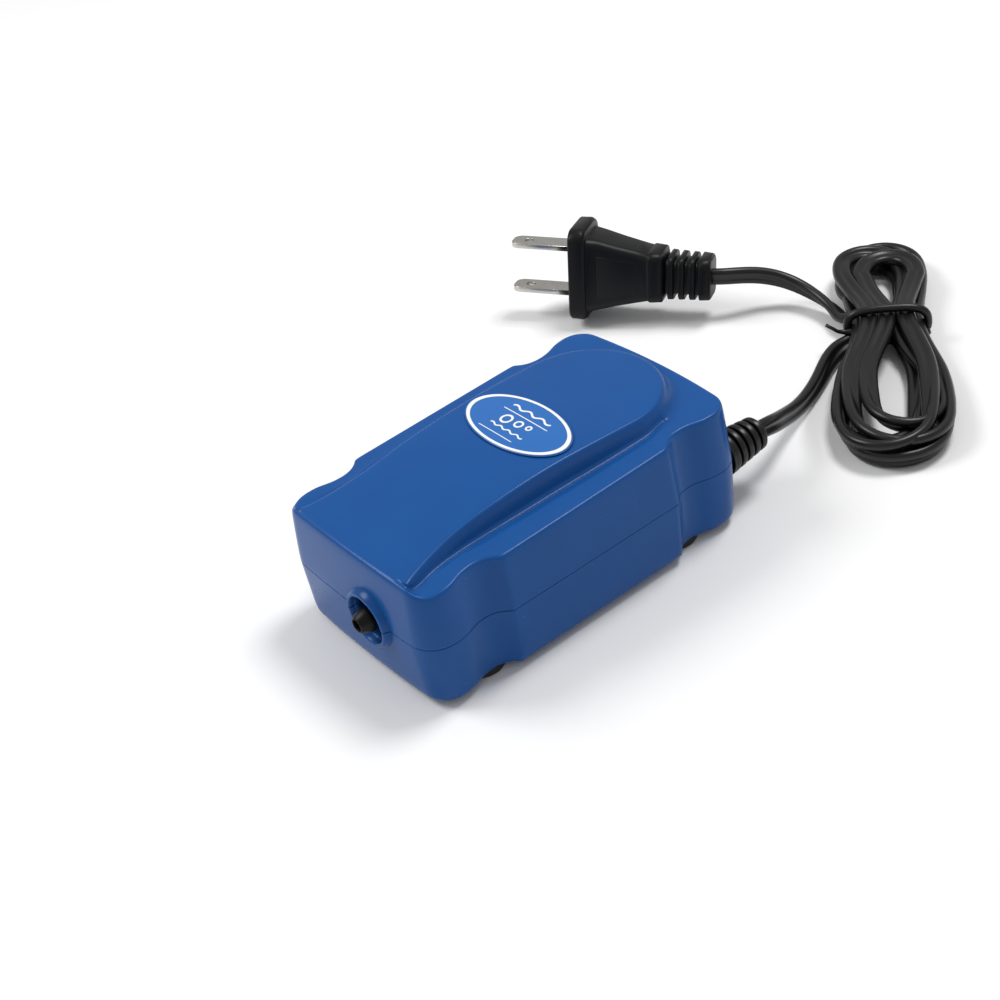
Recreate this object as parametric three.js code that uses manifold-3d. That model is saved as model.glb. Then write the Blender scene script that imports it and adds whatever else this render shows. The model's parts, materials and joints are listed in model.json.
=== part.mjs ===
// Aquarium air pump: a two-shell case with a tongue on its lid, an electromagnet that shakes a
// magnet arm, a rubber diaphragm on a valve chamber, a barbed air outlet, and a mains cord that is
// tied in a hank and ends in a flat two-blade plug.
// Millimetres, +Z up. The outlet faces -Y, the cord leaves towards +Y, and z = 0 is the surface
// that the rubber feet stand on. All positions below are measured from the middle of the case; the
// finished group is then moved so that its origin is midway between the nozzle tip and the back.
import * as THREE from "three";
import { mergeVertices } from "three/addons/utils/BufferGeometryUtils.js";
import Module from "manifold-3d";

const wasm = await Module();
wasm.setup();

// ---- Driving dimensions -------------------------------------------------------------------------
const GAP = 0.3; // clearance between neighbouring pieces
const WALL = 2; // thickness of the case shells

// Plan outline of the case: straight middle walls, a flute near each corner, bulging corner pillars
const CASE_LENGTH = 90;
const HALF_MIDDLE = 28;
const HALF_PILLAR = 26.9;
const HALF_FLUTE = 25;
const FLUTE_Y = 30;
const CORNER_RADIUS = 7;
const FRONT_BOW = 0.5;
const BACK_BOW = 1;

// Heights of the case
const CASE_BOTTOM = 1.4;
const PARTING_Z = 17;
const DECK_FRONT_Z = 30;
const DECK_BACK_Z = 32.3;
const TOP_EDGE_BEVEL = 1.6;
const BOTTOM_EDGE_BEVEL = 0.8;

// The raised tongue on the lid
const TONGUE_HALF_FRONT = 21;
const TONGUE_HALF_BACK = 17.6;
const TONGUE_END_Y = 41;
const TONGUE_FRONT_Z = 31.4;
const TONGUE_MIDDLE_Z = 36.3;
const TONGUE_BACK_Z = 35.2;

// Oval badge on the tongue
const BADGE_LENGTH = 17;
const BADGE_WIDTH = 32;
const BADGE_THICKNESS = 0.5;
const BADGE_Y = 4;

// Feet, case screws and the filter in the floor
const FOOT = { x: 18.5, y: 28.5, radius: 6 };
const SCREW = { x: 21.5, y: 37.5, shank: 1.2, head: 2.7, post: 3.3 };
const FILTER = { x: -12, y: -11.5, width: 16, length: 13, depth: 3 };

// Air side: everything that moves or pumps is centred on one height
const AXIS_Z = 16.8;
const NOZZLE_X = 6;
const NOZZLE_TIP_Y = -49;
const ORIGIN_SHIFT_Y = 1.5;
const NOZZLE_BORE = 1.4;
const COLLAR_RADIUS = 7.4;
const COLLAR_HOLE = 5.7;
const COLLAR_DEPTH = 1.5;
const ARM_X = 11;
const PIVOT_Y = -28;
const DIAPHRAGM_Y = -14;
const CHAMBER = { x0: -16, x1: -5, y0: -24, y1: -4, half: 9.5, wall: 2 };
const PUMP_FACE_X = 1;

// Electromagnet: an E-shaped stack whose three poles face the magnet across a small gap
const CORE = { width: 24, front: 9, back: 33, height: 12, leg: 4, middle: 6, yoke: 6 };
const BOBBIN_HALF_HEIGHT = 10;

// Cord, strain relief and plug
const CORD_RADIUS = 2;
const RELIEF = { x: 18.2, z: 13.5, inner: 41.1, outer: 57.2, rootRadius: 5, endRadius: 4 };
const HANK = { x: 2.5, y: 119.5, angle: -Math.PI / 4, low: 0.3, high: 9.6 };
const LONG_LOBE = { reach: 57, width: 29 };
const SHORT_LOBE = { reach: 40, width: 24 };
const HANK_NECK = { width: 18, low: 2.2, high: 8.4, length: 3 };
const PLUG = { x: -74.6, y: 80.85, z: 14.3, heading: 0.591, dip: 0.055, roll: 1.396 };
const FLANGE = { length: 26, width: 16, depth: 4.8 };
const BLADE = { length: 17.5, width: 6.35, thickness: 1.5, pitch: 12.7, hole: 1.5 };

// ---- Materials ----------------------------------------------------------------------------------
const finish = {
  caseBlue: { color: 0x24559b, roughness: 0.28, metalness: 0 },
  badgeBlue: { color: 0x2a6ab4, roughness: 0.35, metalness: 0 },
  rubber: { color: 0x1b1b1c, roughness: 0.75, metalness: 0 },
  blackPlastic: { color: 0x141517, roughness: 0.4, metalness: 0 },
  cordVinyl: { color: 0x121314, roughness: 0.45, metalness: 0 },
  steel: { color: 0x8f9498, roughness: 0.35, metalness: 1 },
  nickel: { color: 0xb9bab6, roughness: 0.28, metalness: 1 },
  lamination: { color: 0x5d6164, roughness: 0.5, metalness: 1 },
  copper: { color: 0xb0602c, roughness: 0.35, metalness: 1 },
  paleNylon: { color: 0xd9d6c8, roughness: 0.55, metalness: 0 },
  felt: { color: 0xcfd0c9, roughness: 0.95, metalness: 0 },
  ferrite: { color: 0x2b2c2e, roughness: 0.6, metalness: 0.2 },
};

// ---- Helpers ------------------------------------------------------------------------------------
const pump = new THREE.Group();
pump.position.y = ORIGIN_SHIFT_Y;

function toSolid(geometry) {
  const bare = geometry.clone();
  bare.deleteAttribute("normal");
  bare.deleteAttribute("uv");
  const merged = mergeVertices(bare, 1e-4);
  return new wasm.Manifold(
    new wasm.Mesh({
      numProp: 3,
      vertProperties: new Float32Array(merged.attributes.position.array),
      triVerts: new Uint32Array(merged.index.array),
    }),
  );
}

function toGeometry(solid) {
  const mesh = solid.getMesh();
  const geometry = new THREE.BufferGeometry();
  geometry.setAttribute("position", new THREE.BufferAttribute(mesh.vertProperties, 3));
  geometry.setIndex(new THREE.BufferAttribute(mesh.triVerts, 1));
  return geometry;
}

function add(name, shape, look, parent = pump) {
  const geometry = shape.isBufferGeometry ? shape : toGeometry(shape);
  const mesh = new THREE.Mesh(geometry, new THREE.MeshStandardMaterial(look));
  mesh.name = name;
  parent.add(mesh);
  return mesh;
}

// A block between two corners
function block(x0, x1, y0, y1, z0, z1) {
  const geometry = new THREE.BoxGeometry(x1 - x0, y1 - y0, z1 - z0);
  geometry.translate((x0 + x1) / 2, (y0 + y1) / 2, (z0 + z1) / 2);
  return toSolid(geometry);
}

// A round bar or cone between two points
function bar(start, end, radius, endRadius = radius, sides = 20) {
  const a = new THREE.Vector3(...start);
  const b = new THREE.Vector3(...end);
  const geometry = new THREE.CylinderGeometry(endRadius, radius, a.distanceTo(b), sides);
  const turn = new THREE.Quaternion().setFromUnitVectors(
    new THREE.Vector3(0, 1, 0),
    b.clone().sub(a).normalize(),
  );
  geometry.applyQuaternion(turn);
  geometry.translate((a.x + b.x) / 2, (a.y + b.y) / 2, (a.z + b.z) / 2);
  return toSolid(geometry);
}

// A plan shape raised from z0 to z1, with an optional rounded upper edge
function raise(shape, z0, z1, bevel = 0, segments = 3) {
  const geometry = new THREE.ExtrudeGeometry(shape, {
    depth: z1 - z0 - 2 * bevel,
    bevelEnabled: bevel > 0,
    bevelThickness: bevel,
    bevelSize: bevel,
    bevelOffset: -bevel,
    bevelSegments: segments,
    curveSegments: 6,
  });
  geometry.translate(0, 0, z0 + bevel);
  return toSolid(geometry);
}

// A side view in Y and Z, drawn as [y, z] points, pulled across the width
function acrossWidth(points, halfWidth) {
  const shape = new THREE.Shape(points.map(([y, z]) => new THREE.Vector2(y, z)));
  const geometry = new THREE.ExtrudeGeometry(shape, { depth: 2 * halfWidth, bevelEnabled: false });
  geometry.applyMatrix4(
    new THREE.Matrix4().makeBasis(
      new THREE.Vector3(0, 1, 0),
      new THREE.Vector3(0, 0, 1),
      new THREE.Vector3(1, 0, 0),
    ),
  );
  geometry.translate(-halfWidth, 0, 0);
  return toSolid(geometry);
}

// A ring or disc turned about an axis along X through (y, z), drawn as [radius, x] points
function turnedAboutX(points, y, z, sides = 28) {
  const profile = points.map(([radius, x]) => new THREE.Vector2(radius, x));
  const geometry = new THREE.LatheGeometry(profile, sides);
  geometry.applyMatrix4(
    new THREE.Matrix4().makeBasis(
      new THREE.Vector3(0, 1, 0),
      new THREE.Vector3(1, 0, 0),
      new THREE.Vector3(0, 0, -1),
    ),
  );
  geometry.translate(0, y, z);
  return toSolid(geometry);
}

// A plain round tube along a smooth curve through the given points
function tube(points, radius, steps, sides = 8) {
  const section = new THREE.Shape();
  for (let i = 0; i < sides; i += 1) {
    const turn = (2 * Math.PI * i) / sides;
    section[i === 0 ? "moveTo" : "lineTo"](radius * Math.cos(turn), radius * Math.sin(turn));
  }
  section.closePath();
  const route = new THREE.CatmullRomCurve3(points.map((p) => new THREE.Vector3(...p)));
  return new THREE.ExtrudeGeometry(section, { steps, extrudePath: route, bevelEnabled: false });
}

function roundedRectangle(width, height, radius) {
  const shape = new THREE.Shape();
  const x = width / 2;
  const y = height / 2;
  shape.moveTo(-x + radius, -y);
  shape.lineTo(x - radius, -y);
  shape.absarc(x - radius, -y + radius, radius, -Math.PI / 2, 0);
  shape.lineTo(x, y - radius);
  shape.absarc(x - radius, y - radius, radius, 0, Math.PI / 2);
  shape.lineTo(-x + radius, y);
  shape.absarc(-x + radius, y - radius, radius, Math.PI / 2, Math.PI);
  shape.lineTo(-x, -y + radius);
  shape.absarc(-x + radius, -y + radius, radius, Math.PI, 1.5 * Math.PI);
  return shape;
}

// ---- Case outline -------------------------------------------------------------------------------
// One corner of the plan from the front or back edge round to the middle wall, for x > 0.
// "end" is -1 at the front and +1 at the back.
function cornerPoints(end, inset) {
  const halfLength = CASE_LENGTH / 2 - inset;
  const pillar = HALF_PILLAR - inset;
  const flute = HALF_FLUTE - inset;
  const middle = HALF_MIDDLE - inset;
  const radius = CORNER_RADIUS - inset;
  const corner = new THREE.EllipseCurve(pillar - radius, end * (halfLength - radius), radius, radius,
    (end * Math.PI) / 2, 0, end > 0);
  const fluteCurve = new THREE.SplineCurve([
    new THREE.Vector2(pillar, end * (halfLength - radius)),
    new THREE.Vector2(pillar - 0.35, end * (FLUTE_Y + 5)),
    new THREE.Vector2(flute, end * FLUTE_Y),
    new THREE.Vector2(flute + 0.9, end * (FLUTE_Y - 4)),
    new THREE.Vector2(middle, end * (FLUTE_Y - 6.5)),
  ]);
  return [...corner.getPoints(6), ...fluteCurve.getPoints(12).slice(1)];
}

function caseOutline(inset) {
  const front = new THREE.Vector2(0, -CASE_LENGTH / 2 - FRONT_BOW + inset);
  const back = new THREE.Vector2(0, CASE_LENGTH / 2 + BACK_BOW - inset);
  const right = [front, ...cornerPoints(-1, inset), ...cornerPoints(1, inset).reverse(), back];
  const left = right.slice(1, -1).reverse().map((p) => new THREE.Vector2(-p.x, p.y));
  return new THREE.Shape([...right, ...left]);
}

// Bullet-shaped plan of the tongue: widest at the front edge, a half round at the back
function tongueOutline(inset) {
  const front = -CASE_LENGTH / 2 - 4;
  const halfFront = TONGUE_HALF_FRONT - inset;
  const halfBack = TONGUE_HALF_BACK - inset;
  const arcY = TONGUE_END_Y - TONGUE_HALF_BACK;
  const shape = new THREE.Shape();
  shape.moveTo(-halfFront, front);
  shape.lineTo(halfFront, front);
  shape.quadraticCurveTo(halfBack, -CASE_LENGTH / 4, halfBack, 0);
  shape.lineTo(halfBack, arcY);
  shape.absarc(0, arcY, halfBack, 0, Math.PI);
  shape.lineTo(-halfBack, 0);
  shape.quadraticCurveTo(-halfBack, -CASE_LENGTH / 4, -halfFront, front);
  return shape;
}

// The solid that the lid's outer or inner surface bounds, from the parting plane up
function lidBody(inset, bottomZ) {
  const far = CASE_LENGTH / 2 + 6;
  const deckSlope = acrossWidth([
    [-far, bottomZ],
    [far, bottomZ],
    [far, DECK_BACK_Z - inset],
    [-far, DECK_FRONT_Z - inset],
  ], 40);
  const tongueSide = new THREE.SplineCurve([
    new THREE.Vector2(-far, TONGUE_FRONT_Z - 0.6 - inset),
    new THREE.Vector2(-CASE_LENGTH / 2, TONGUE_FRONT_Z - inset),
    new THREE.Vector2(0, TONGUE_MIDDLE_Z - inset),
    new THREE.Vector2(TONGUE_END_Y, TONGUE_BACK_Z - inset),
    new THREE.Vector2(far, TONGUE_BACK_Z - 1 - inset),
  ]).getPoints(16);
  const tongueSlope = acrossWidth([
    [-far, bottomZ],
    [far, bottomZ],
    ...tongueSide.reverse().map((p) => [p.x, p.y]),
  ], 40);
  const bevel = inset > 0 ? 0 : TOP_EDGE_BEVEL;
  const deck = raise(caseOutline(inset), bottomZ - 4, DECK_BACK_Z + 4, 0).intersect(deckSlope);
  const rounding = raise(caseOutline(inset), bottomZ - 4, DECK_BACK_Z - inset, bevel)
    .intersect(deck);
  const tongue = raise(tongueOutline(inset), bottomZ - 4, TONGUE_MIDDLE_Z + 4, 0)
    .intersect(tongueSlope)
    .intersect(raise(caseOutline(inset), bottomZ - 4, TONGUE_MIDDLE_Z + 6, 0));
  return rounding.add(tongue);
}

// ---- Case shells --------------------------------------------------------------------------------
const screwPlaces = [-1, 1].flatMap((sy) => [-1, 1].map((sx) => [sx * SCREW.x, sy * SCREW.y]));
const footPlaces = [-1, 1].flatMap((sy) => [-1, 1].map((sx) => [sx * FOOT.x, sy * FOOT.y]));
const floorZ = CASE_BOTTOM + WALL;
const seam = GAP / 2;
const frontFace = -CASE_LENGTH / 2;

// Round collar about the outlet, with its conical outside, and the hole through it
function outletCollar() {
  return bar([NOZZLE_X, frontFace + WALL, AXIS_Z], [NOZZLE_X, frontFace, AXIS_Z], COLLAR_RADIUS)
    .add(bar([NOZZLE_X, frontFace, AXIS_Z], [NOZZLE_X, frontFace - COLLAR_DEPTH, AXIS_Z],
      COLLAR_RADIUS, COLLAR_HOLE + 0.5, 28));
}

const outletHole = bar([NOZZLE_X, frontFace + 6, AXIS_Z], [NOZZLE_X, frontFace - 4, AXIS_Z],
  COLLAR_HOLE, COLLAR_HOLE, 28);
const reliefHole = bar([RELIEF.x, 40, RELIEF.z], [RELIEF.x, 50, RELIEF.z], RELIEF.rootRadius - 0.7);

function buildUpperShell() {
  const bottom = PARTING_Z + seam;
  const keep = block(-40, 40, -60, 60, bottom, 60);
  const outer = lidBody(0, bottom);
  // Rib that presses the arm's rubber pivot down into its seat, and the screw posts
  let inside = block(ARM_X - 3.5, ARM_X + 3.5, PIVOT_Y - 1, PIVOT_Y + 1, AXIS_Z + 7.2, 60);
  for (const [x, y] of screwPlaces) {
    inside = inside.add(bar([x, y, bottom], [x, y, 60], SCREW.post, SCREW.post, 16));
  }
  let shell = outer.add(outletCollar()).subtract(lidBody(WALL, bottom - 2));
  shell = shell.add(inside.intersect(outer));
  for (const [x, y] of screwPlaces) {
    shell = shell.subtract(bar([x, y, bottom - 1], [x, y, bottom + 9], SCREW.shank + GAP,
      SCREW.shank + GAP, 12));
  }
  return shell.subtract(outletHole).subtract(reliefHole).intersect(keep);
}

// Floor pocket for the filter, with a raised ceiling and a hole for the air
const pocket = {
  x0: FILTER.x - FILTER.width / 2,
  x1: FILTER.x + FILTER.width / 2,
  y0: FILTER.y - FILTER.length / 2,
  y1: FILTER.y + FILTER.length / 2,
  top: CASE_BOTTOM + FILTER.depth,
};
const intakeY = DIAPHRAGM_Y + 5;

function buildLowerShell() {
  const top = PARTING_Z - seam;
  const keep = block(-40, 40, -60, 60, 0, top);
  let shell = raise(caseOutline(0), CASE_BOTTOM, top + 4, BOTTOM_EDGE_BEVEL, 2).add(outletCollar());
  shell = shell.subtract(raise(caseOutline(WALL), floorZ, top + 6));
  shell = shell.add(block(pocket.x0 - 1.4, pocket.x1 + 1.4, pocket.y0 - 1.4, pocket.y1 + 1.4,
    CASE_BOTTOM + 0.5, pocket.top + 1.2));
  shell = shell.subtract(block(pocket.x0, pocket.x1, pocket.y0, pocket.y1, 0, pocket.top));
  shell = shell.subtract(bar([FILTER.x, intakeY, 0], [FILTER.x, intakeY, 9], 2, 2, 16));
  for (const [x, y] of screwPlaces) {
    shell = shell.add(bar([x, y, floorZ - 1], [x, y, top], SCREW.post, SCREW.post, 16));
  }
  for (const [x, y] of screwPlaces) {
    shell = shell.subtract(bar([x, y, 0], [x, y, top + 1], SCREW.shank + GAP, SCREW.shank + GAP, 12));
    shell = shell.subtract(bar([x, y, 0], [x, y, floorZ + 1], SCREW.head + GAP, SCREW.head + GAP, 16));
  }
  for (const [x, y] of footPlaces) {
    shell = shell.subtract(bar([x, y, 0], [x, y, CASE_BOTTOM + 0.9], FOOT.radius + 0.1,
      FOOT.radius + 0.1, 24));
  }
  // Pedestal under the arm's pivot, core rests, and posts for the bracket and chamber screws
  shell = shell.add(block(ARM_X - 2.4, ARM_X + 2.4, PIVOT_Y - 3, PIVOT_Y + 3, floorZ - 1, AXIS_Z - 7));
  for (const side of [-1, 1]) {
    const x = ARM_X + side * (CORE.width / 2 - 2);
    shell = shell.add(block(x - 1.8, x + 1.8, 12, 32, floorZ - 1, AXIS_Z - CORE.height / 2 - GAP));
  }
  for (const [x, y, height] of postPlaces) {
    shell = shell.add(bar([x, y, floorZ - 1], [x, y, Math.min(height, top)], 2.6, 2.6, 14));
    shell = shell.subtract(bar([x, y, floorZ + 1], [x, y, 40], 1.3, 1.3, 12));
  }
  return shell.subtract(outletHole).subtract(reliefHole).intersect(keep);
}

const bracketTop = AXIS_Z + CORE.height / 2 + GAP;
const earZ = AXIS_Z - CHAMBER.half;
const bracketScrews = [[ARM_X - CORE.width / 2 - 3.4, 30], [ARM_X - 6, 37]];
const chamberScrews = [[-10.5, CHAMBER.y1 + 2.8], [-10.5, CHAMBER.y0 - 2.8]];
const postPlaces = [
  ...bracketScrews.map(([x, y]) => [x, y, PARTING_Z - seam]),
  ...chamberScrews.map(([x, y]) => [x, y, earZ - GAP]),
];

add("upper_shell", buildUpperShell(), finish.caseBlue);
add("lower_shell", buildLowerShell(), finish.caseBlue);

// Oval badge that follows the tongue's surface
function buildBadge() {
  const oval = new THREE.Shape();
  oval.absellipse(0, BADGE_Y, BADGE_WIDTH / 2, BADGE_LENGTH / 2, 0, 2 * Math.PI);
  return raise(oval, DECK_BACK_Z, TONGUE_MIDDLE_Z + 4)
    .intersect(lidBody(-GAP - BADGE_THICKNESS, PARTING_Z))
    .subtract(lidBody(-GAP, PARTING_Z - 2));
}

add("label_badge", buildBadge(), finish.badgeBlue);

// ---- Feet, screws and filter --------------------------------------------------------------------
footPlaces.forEach(([x, y], i) => {
  add(`foot_${i + 1}`, bar([x, y, 0], [x, y, CASE_BOTTOM + 0.6], FOOT.radius - GAP,
    FOOT.radius - GAP, 24), finish.rubber);
});

// The head stands on headZ, above it when "up" and below it otherwise; the shank ends at tipZ
function panHeadScrew(x, y, headZ, tipZ, up) {
  const faceZ = up ? headZ + 1.6 : headZ - 1.6;
  const insideHead = (headZ + faceZ) / 2;
  return bar([x, y, headZ], [x, y, faceZ], SCREW.head, SCREW.head, 16)
    .add(bar([x, y, insideHead], [x, y, tipZ], SCREW.shank, SCREW.shank, 12))
    .subtract(crossSlot(x, y, faceZ, up));
}

function crossSlot(x, y, faceZ, up) {
  const z0 = up ? faceZ - 0.7 : faceZ - 1;
  const z1 = up ? faceZ + 1 : faceZ + 0.7;
  return block(x - 1.6, x + 1.6, y - 0.35, y + 0.35, z0, z1)
    .add(block(x - 0.35, x + 0.35, y - 1.6, y + 1.6, z0, z1));
}

screwPlaces.forEach(([x, y], i) => {
  add(`case_screw_${i + 1}`, panHeadScrew(x, y, floorZ + 0.7, PARTING_Z + 8, false), finish.steel);
});

function buildFilterCover() {
  let cover = block(pocket.x0 + GAP, pocket.x1 - GAP, pocket.y0 + GAP, pocket.y1 - GAP,
    CASE_BOTTOM + 0.1, CASE_BOTTOM + 1.2);
  for (let i = -2; i <= 2; i += 1) {
    const y = FILTER.y + i * 2.2;
    cover = cover.subtract(block(FILTER.x - 5.5, FILTER.x + 5.5, y - 0.5, y + 0.5, 0, 6));
  }
  return cover;
}

add("filter_cover", buildFilterCover(), finish.caseBlue);
add("filter_felt", block(pocket.x0 + GAP, pocket.x1 - GAP, pocket.y0 + GAP, pocket.y1 - GAP,
  CASE_BOTTOM + 1.5, pocket.top - GAP), finish.felt);

// ---- Electromagnet ------------------------------------------------------------------------------
const coreX0 = ARM_X - CORE.width / 2;
const coreX1 = ARM_X + CORE.width / 2;
const coreZ0 = AXIS_Z - CORE.height / 2;
const coreZ1 = AXIS_Z + CORE.height / 2;
const windowEnd = CORE.back - CORE.yoke;

function buildCore() {
  let core = block(coreX0, coreX1, windowEnd, CORE.back, coreZ0, coreZ1);
  core = core.add(block(coreX0, coreX0 + CORE.leg, CORE.front, CORE.back, coreZ0, coreZ1));
  core = core.add(block(coreX1 - CORE.leg, coreX1, CORE.front, CORE.back, coreZ0, coreZ1));
  return core.add(block(ARM_X - CORE.middle / 2, ARM_X + CORE.middle / 2, CORE.front, CORE.back,
    coreZ0, coreZ1));
}

// Coil former: a square tube about the middle leg, with a flange at each end
const bobbin = {
  y0: CORE.front + 2,
  y1: windowEnd - GAP,
  inner: CORE.middle / 2 + GAP,
  tube: CORE.middle / 2 + 1.2,
  flange: CORE.width / 2 - CORE.leg - GAP,
};

function squareRing(inner, outer, innerZ, outerZ, y0, y1) {
  return block(ARM_X - outer, ARM_X + outer, y0, y1, AXIS_Z - outerZ, AXIS_Z + outerZ)
    .subtract(block(ARM_X - inner, ARM_X + inner, y0 - 1, y1 + 1, AXIS_Z - innerZ, AXIS_Z + innerZ));
}

const tubeHalfZ = CORE.height / 2 + 1.2;

function buildBobbin() {
  const hole = CORE.height / 2 + GAP;
  return squareRing(bobbin.inner, bobbin.tube, hole, tubeHalfZ, bobbin.y0, bobbin.y1)
    .add(squareRing(bobbin.inner, bobbin.flange, hole, BOBBIN_HALF_HEIGHT, bobbin.y0, bobbin.y0 + 1))
    .add(squareRing(bobbin.inner, bobbin.flange, hole, BOBBIN_HALF_HEIGHT, bobbin.y1 - 1, bobbin.y1));
}

function buildWinding() {
  const section = roundedRectangle(2 * bobbin.flange - 1, 2 * BOBBIN_HALF_HEIGHT - 1, 2);
  const hole = roundedRectangle(2 * (bobbin.tube + GAP), 2 * (tubeHalfZ + GAP), 0.5);
  section.holes.push(hole);
  const geometry = new THREE.ExtrudeGeometry(section, {
    depth: bobbin.y1 - bobbin.y0 - 2 - 2 * GAP,
    bevelEnabled: false,
    curveSegments: 4,
  });
  geometry.rotateX(Math.PI / 2);
  geometry.translate(ARM_X, bobbin.y1 - 1 - GAP, AXIS_Z);
  return geometry;
}

function buildBracket() {
  const [[x1, y1], [x2, y2]] = bracketScrews;
  let plate = block(x1 - 3, coreX1, windowEnd + 1, CORE.back, bracketTop, bracketTop + 1.2);
  plate = plate.add(block(x2 - 3, x2 + 3, CORE.back - 1, y2 + 3, bracketTop, bracketTop + 1.2));
  for (const [x, y] of [[x1, y1], [x2, y2]]) {
    plate = plate.add(bar([x, y, PARTING_Z - seam + GAP], [x, y, bracketTop + 0.6], 2.6, 2.6, 14));
    plate = plate.subtract(bar([x, y, 10], [x, y, 40], SCREW.shank + GAP, SCREW.shank + GAP, 12));
  }
  return plate;
}

add("core_laminations", buildCore(), finish.lamination);
add("coil_bobbin", buildBobbin(), finish.paleNylon);
add("coil_winding", buildWinding(), finish.copper);
add("core_bracket", buildBracket(), finish.steel);
bracketScrews.forEach(([x, y], i) => {
  add(`core_screw_${i + 1}`, panHeadScrew(x, y, bracketTop + 1.2 + GAP, 8, true), finish.steel);
});

// ---- Magnet arm ---------------------------------------------------------------------------------
const magnet = { y0: 0.5, y1: CORE.front - 1.5, halfX: 4, halfZ: 5 };

function buildArm() {
  const plate = block(ARM_X - 1, ARM_X + 1, PIVOT_Y - 1.8, magnet.y0 - GAP, AXIS_Z - 4, AXIS_Z + 4);
  const cup = block(ARM_X - magnet.halfX - 1, ARM_X + magnet.halfX + 1, magnet.y0 - 1.8,
    magnet.y0 - GAP, AXIS_Z - magnet.halfZ, AXIS_Z + magnet.halfZ);
  const bolt = bar([ARM_X - 6, DIAPHRAGM_Y, AXIS_Z], [ARM_X + 6, DIAPHRAGM_Y, AXIS_Z], 1.5, 1.5, 12);
  return plate.add(cup).subtract(bolt);
}

function buildPivot() {
  const body = block(ARM_X - 2.4, ARM_X + 2.4, PIVOT_Y - 3, PIVOT_Y + 3, AXIS_Z - 6.7, AXIS_Z + 6.9);
  return body.subtract(block(ARM_X - 1.4, ARM_X + 1.4, PIVOT_Y - 2.2, PIVOT_Y + 4,
    AXIS_Z - 4.3, AXIS_Z + 4.3));
}

add("arm_pivot", buildPivot(), finish.rubber);
add("lever_arm", buildArm(), finish.steel);
add("arm_magnet", block(ARM_X - magnet.halfX, ARM_X + magnet.halfX, magnet.y0, magnet.y1,
  AXIS_Z - magnet.halfZ, AXIS_Z + magnet.halfZ), finish.ferrite);

// ---- Diaphragm and its bolt ---------------------------------------------------------------------
// Rubber cup stretched over the round mouth of the chamber, thick where the bolt goes through
function buildDiaphragm() {
  return turnedAboutX([
    [1.5, PUMP_FACE_X + GAP],
    [9, PUMP_FACE_X + GAP],
    [9, PUMP_FACE_X - 5.4],
    [10, PUMP_FACE_X - 5.4],
    [10, PUMP_FACE_X + 0.8],
    [9.4, PUMP_FACE_X + 1.3],
    [4, PUMP_FACE_X + 1.3],
    [3.5, PUMP_FACE_X + 2.7],
    [1.5, PUMP_FACE_X + 2.7],
    [1.5, PUMP_FACE_X + GAP],
  ], DIAPHRAGM_Y, AXIS_Z);
}

const washerX = PUMP_FACE_X + 2.7 + GAP;
const armFaceX = ARM_X - 1;

function ringAboutX(inner, outer, x0, x1, sides = 20) {
  return turnedAboutX([[inner, x0], [outer, x0], [outer, x1], [inner, x1], [inner, x0]],
    DIAPHRAGM_Y, AXIS_Z, sides);
}

function buildBolt() {
  const y = DIAPHRAGM_Y;
  return bar([PUMP_FACE_X - 2, y, AXIS_Z], [PUMP_FACE_X, y, AXIS_Z], 2.6, 2.6, 16)
    .add(bar([PUMP_FACE_X - 1, y, AXIS_Z], [ARM_X + 4.4, y, AXIS_Z], SCREW.shank, SCREW.shank, 12));
}

add("diaphragm", buildDiaphragm(), finish.rubber);
add("diaphragm_washer", ringAboutX(1.5, 3.5, washerX, washerX + 1), finish.steel);
add("arm_spacer", ringAboutX(1.5, 2.6, washerX + 1 + GAP, armFaceX - GAP), finish.paleNylon);
add("diaphragm_bolt", buildBolt(), finish.steel);
add("arm_nut", ringAboutX(1.5, 3, ARM_X + 1 + GAP, ARM_X + 3.6, 6), finish.steel);

// ---- Valve chamber ------------------------------------------------------------------------------
const wallX = CHAMBER.x1 - 3;
const portOffset = 3.5;
const intakePortY = DIAPHRAGM_Y + portOffset;
const outletPortY = DIAPHRAGM_Y - portOffset;

function buildChamber() {
  const { x0, x1, y0, y1, half } = CHAMBER;
  let body = block(x0, x1, y0, y1, AXIS_Z - half, AXIS_Z + half)
    .add(bar([x1 - 1, DIAPHRAGM_Y, AXIS_Z], [PUMP_FACE_X, DIAPHRAGM_Y, AXIS_Z], 8.7, 8.7, 28));
  for (const [x, y] of chamberScrews) {
    const inward = y > DIAPHRAGM_Y ? [y1 - 1, y + 2.8] : [y - 2.8, y0 + 1];
    body = body.add(block(x - 3, x + 3, inward[0], inward[1], earZ, earZ + 2));
  }
  // Pumping space behind the diaphragm, then the two pockets that its ports lead to
  body = body.subtract(bar([wallX + 2, DIAPHRAGM_Y, AXIS_Z], [4, DIAPHRAGM_Y, AXIS_Z], 6.5, 6.5, 28));
  body = body.subtract(block(x0 - 1, wallX, DIAPHRAGM_Y + 1.2, y1 - 1.5, AXIS_Z - 8, AXIS_Z + 8));
  body = body.subtract(block(x0 - 1, wallX, y0 + 1.5, DIAPHRAGM_Y - 1.2, AXIS_Z - 8, AXIS_Z + 8));
  for (const y of [intakePortY, outletPortY]) {
    body = body.subtract(bar([wallX - 1, y, AXIS_Z], [wallX + 3, y, AXIS_Z], 1.5, 1.5, 16));
  }
  body = body.subtract(bar([FILTER.x, intakeY, 0], [FILTER.x, intakeY, AXIS_Z - 4], 1.6, 1.6, 16));
  body = body.subtract(bar([FILTER.x, y0 - 1, AXIS_Z], [FILTER.x, y0 + 3, AXIS_Z], 1.6, 1.6, 16));
  for (const [x, y] of chamberScrews) {
    body = body.subtract(bar([x, y, 0], [x, y, 20], SCREW.shank + GAP, SCREW.shank + GAP, 12));
  }
  return body;
}

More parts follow.
